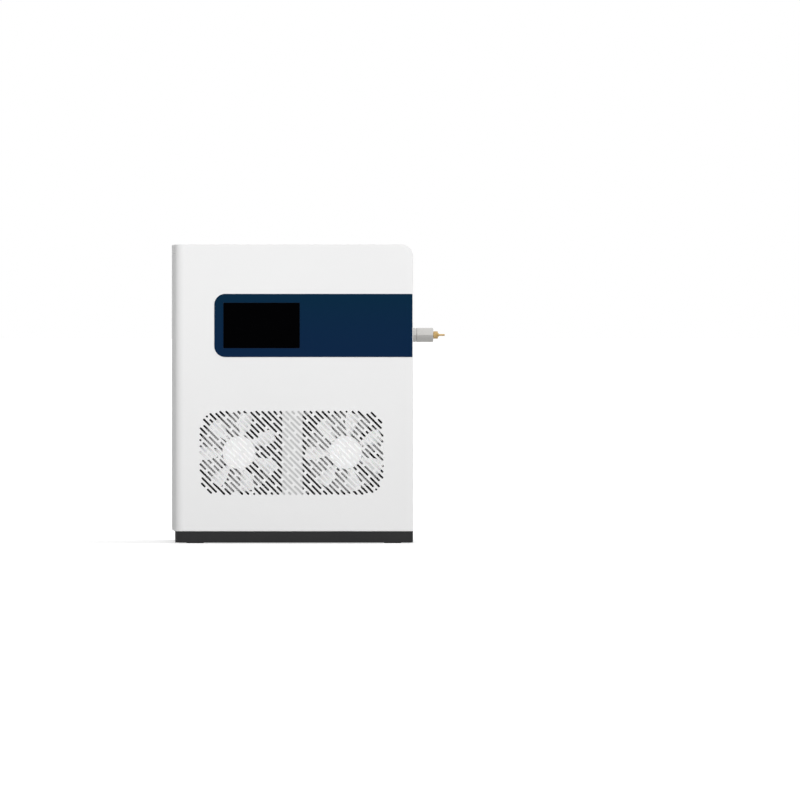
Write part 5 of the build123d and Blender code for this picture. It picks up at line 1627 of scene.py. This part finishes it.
class FrameOperator(bpy.types.Operator):
    """Welds the frame from square tube, with the deck and the wall for the main board"""

    bl_idname = "spectrometer.frame"
    bl_label = "Welded frame"

    def execute(self, context):
        low, high = node_box("chassis_frame")
        bar, hoop, edge, left = 14.0, 12.0, 1.6, -194.0
        deck_top = node_box("vacuum_chamber")[0].z
        post_front, floor, front_bottom, right_rail = -150.0, low.z, 18.0, 480.0
        cover_rear, rear, right = low.y + hoop, high.y - hoop, high.x - bar
        bm = bmesh.new()
        hoops = (((low.y, cover_rear), low.x, front_bottom), ((rear, high.y), left, floor))
        for ends, side, bottom in hoops:
            self.ring(bm, self.hoop(side, bottom, high, 0), self.hoop(side, bottom, high, bar), *ends)
        round_edges(bm, sharp_edges(bm), edge, 3)
        made = as_object("welded_frame", bm)
        rails = (
            (left, floor, 2 * bar),
            (right, floor, 2 * bar),
            (left, high.z - bar, bar),
            (right, right_rail, bar),
        )
        for x, z, height in rails:
            rail = fresh(rounded_block, (x, cover_rear, z), (x + bar, rear, z + height), Y, edge, 4)
            shape(made, rail, "UNION")
        for x, top in ((left, high.z), (right, right_rail + 2)):
            start, end = (x, post_front, floor), (x + bar, post_front + bar, top)
            shape(made, fresh(rounded_block, start, end, Z, edge, 4), "UNION")
        sheet = 3
        shape(made, fresh(block, (left, post_front, deck_top - sheet), (high.x, rear, deck_top)), "UNION")
        shape(made, fresh(block, (right - 2, post_front, floor), (right + 2, rear, deck_top)), "UNION")
        pump = middle_of("pump_housing")
        opening = fresh(rod, (pump.x, pump.y, deck_top - 8), (pump.x, pump.y, deck_top), 64, 96)
        shape(made, opening, "DIFFERENCE")
        piece(made, "frame_steel", replaces=["chassis_frame"])
        return {"FINISHED"}

    @staticmethod
    def hoop(left, bottom, high, inset):
        """An outline of the frame seen from the front; its top right corner is round."""
        corner = 24.0
        bend = arc((high.x - corner, high.z - corner), corner - inset, 0, 90, 10)
        start = [(left + inset, bottom + inset), (high.x - inset, bottom + inset)]
        return start + bend + [(left + inset, high.z - inset)]

    @staticmethod
    def ring(bm, outer, inner, front, back):
        """A closed loop of bar between two outlines."""
        loops = [[bm.verts.new((x, y, z)) for x, z in outline]
                 for outline, y in ((outer, front), (inner, front), (inner, back), (outer, back))]
        for one, two in zip(loops, loops[1:] + loops[:1]):
            for index in range(len(one)):
                after = (index + 1) % len(one)
                bm.faces.new((one[index], one[after], two[after], two[index]))


# --- What stays as packed -------------------------------------------------------------------------


class PackedFinishesOperator(bpy.types.Operator):
    """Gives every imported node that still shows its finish"""

    bl_idname = "spectrometer.packed_finishes"
    bl_label = "Packed finishes"

    def execute(self, context):
        slots = {row["node"]: row["material_slot"] for row in frame["record"]["subparts"]}
        for name, packed in frame["nodes"].items():
            if packed.hide_render:
                continue
            packed.data.materials.clear()
            packed.data.materials.append(finish(slots[name]))
        return {"FINISHED"}


# --- Stage ----------------------------------------------------------------------------------------


class StageOperator(bpy.types.Operator):
    """Sets the white floor, the soft studio light and the camera"""

    bl_idname = "spectrometer.stage"
    bl_label = "Stage"

    def execute(self, context):
        self.floor()
        self.world(context.scene)
        self.lamp("front_light", 3.25, 2)
        self.camera(context.scene)
        context.scene.view_settings.view_transform = "Standard"
        return {"FINISHED"}

    @staticmethod
    def floor():
        """White to the camera, half as white to reflections and dim to all other rays."""
        bm = bmesh.new()
        bmesh.ops.create_circle(bm, cap_ends=True, segments=64, radius=150000)
        floor = as_object("studio_floor", bm)
        if floor.data.polygons[0].normal.z < 0:
            floor.data.flip_normals()
        material = bpy.data.materials.new("studio_floor_white")
        material.use_nodes = True
        made = Finish(material.node_tree)
        dim = made.node("ShaderNodeBsdfDiffuse", values={"Color": (0.15, 0.15, 0.15, 1)})
        pale = made.node("ShaderNodeBsdfDiffuse", values={"Color": (0.86, 0.86, 0.86, 1)})
        glow = made.node("ShaderNodeEmission", values={"Color": (1, 1, 1, 1), "Strength": 0.46})
        lit = made.node("ShaderNodeAddShader", values={0: pale, 1: glow})
        camera, glossy = made.wires("ShaderNodeLightPath", "Is Camera Ray", "Is Glossy Ray")
        seen = camera + glossy * 0.5
        both = made.node("ShaderNodeMixShader", values={0: seen, 1: dim, 2: lit})
        made.node("ShaderNodeOutputMaterial", values={"Surface": both}, output=None)
        floor.data.materials.append(material)

    @staticmethod
    def world(scene):
        """White where it is seen; its light is strongest from the back, then from the right."""
        world = bpy.data.worlds.new("studio")
        world.use_nodes = True
        scene.world = world
        made = Finish(world.node_tree)
        here = made.node("ShaderNodeTexCoord", output="Generated")
        side, depth, height = made.wires("ShaderNodeSeparateXYZ", X, Y, Z, values={"Vector": here})
        level = (side * 0.36 + depth * 0.95 + height * 0.1 + 0.95).at_least(0.0)
        light = made.node("ShaderNodeBackground", values={"Strength": level})
        seen = made.node("ShaderNodeBackground", values={"Color": (1, 1, 1, 1), "Strength": 1.0})
        names = ("Is Camera Ray", "Is Glossy Ray", "Is Transmission Ray")
        camera, glossy, through = made.wires("ShaderNodeLightPath", *names)
        adding = {"operation": "ADD", "use_clamp": True}
        shown = made.node("ShaderNodeMath", adding, {0: camera + glossy, 1: through})
        mixed = made.node("ShaderNodeMixShader", values={0: shown, 1: light, 2: seen})
        made.node("ShaderNodeOutputWorld", values={"Surface": mixed}, output=None)

    @staticmethod
    def lamp(name, strength, spread):
        """A sun that shines along the view, so that what lies behind the slots is lit too."""
        data = bpy.data.lights.new(name, "SUN")
        data.energy = strength
        data.angle = math.radians(spread)
        lamp = bpy.data.objects.new(name, data)
        lamp.rotation_euler = (EYE - AIM).to_track_quat("Z", "Y").to_euler()
        lamp.visible_glossy = False
        bpy.context.scene.collection.objects.link(lamp)

    @staticmethod
    def camera(scene):
        """Far off with a long lens, a little below the cabinet's top edge and to its left."""
        data = bpy.data.cameras.new("camera")
        data.lens = data.sensor_width * (AIM.y - EYE.y) / VIEW_WIDTH
        data.clip_end = 400.0
        camera = bpy.data.objects.new("camera", data)
        camera.location = EYE
        camera.rotation_euler = (AIM - EYE).to_track_quat("-Z", "Y").to_euler()
        scene.collection.objects.link(camera)
        scene.camera = camera


# --- Add-on ---------------------------------------------------------------------------------------

OPERATORS = (
    FrontCoverOperator,
    ShellOperator,
    DoorOperator,
    BackPanelOperator,
    PlinthOperator,
    DisplayOperator,
    FansOperator,
    ScrewsOperator,
    TransferLineOperator,
    SocketsOperator,
    HingesOperator,
    ChamberOperator,
    ChamberFittingsOperator,
    PumpOperator,
    ElectronicsOperator,
    FrameOperator,
    PackedFinishesOperator,
    StageOperator,
)
GROUPS = {
    "spectrometer_cabinet": CabinetSizes,
    "spectrometer_grille": GrilleSizes,
    "spectrometer_fans": FanSizes,
    "spectrometer_colours": FinishColours,
}


class SpectrometerPanel(bpy.types.Panel):
    """Lists the steps that build the spectrometer"""

    bl_idname = "VIEW3D_PT_spectrometer"
    bl_label = "Mass spectrometer"
    bl_space_type = "VIEW_3D"
    bl_region_type = "UI"
    bl_category = "Spectrometer"

    def draw(self, context):
        column = self.layout.column(align=True)
        for operator in OPERATORS:
            column.operator(operator.bl_idname)


def register():
    for group in GROUPS.values():
        bpy.utils.register_class(group)
    for name, group in GROUPS.items():
        setattr(bpy.types.Scene, name, bpy.props.PointerProperty(type=group))
    for operator in OPERATORS:
        bpy.utils.register_class(operator)
    bpy.utils.register_class(SpectrometerPanel)


def unregister():
    bpy.utils.unregister_class(SpectrometerPanel)
    for operator in reversed(OPERATORS):
        bpy.utils.unregister_class(operator)
    for name, group in reversed(GROUPS.items()):
        delattr(bpy.types.Scene, name)
        bpy.utils.unregister_class(group)


def main():
    register()
    for operator in OPERATORS:
        family, name = operator.bl_idname.split(".")
        getattr(getattr(bpy.ops, family), name)()


if __name__ == "__main__":
    main()
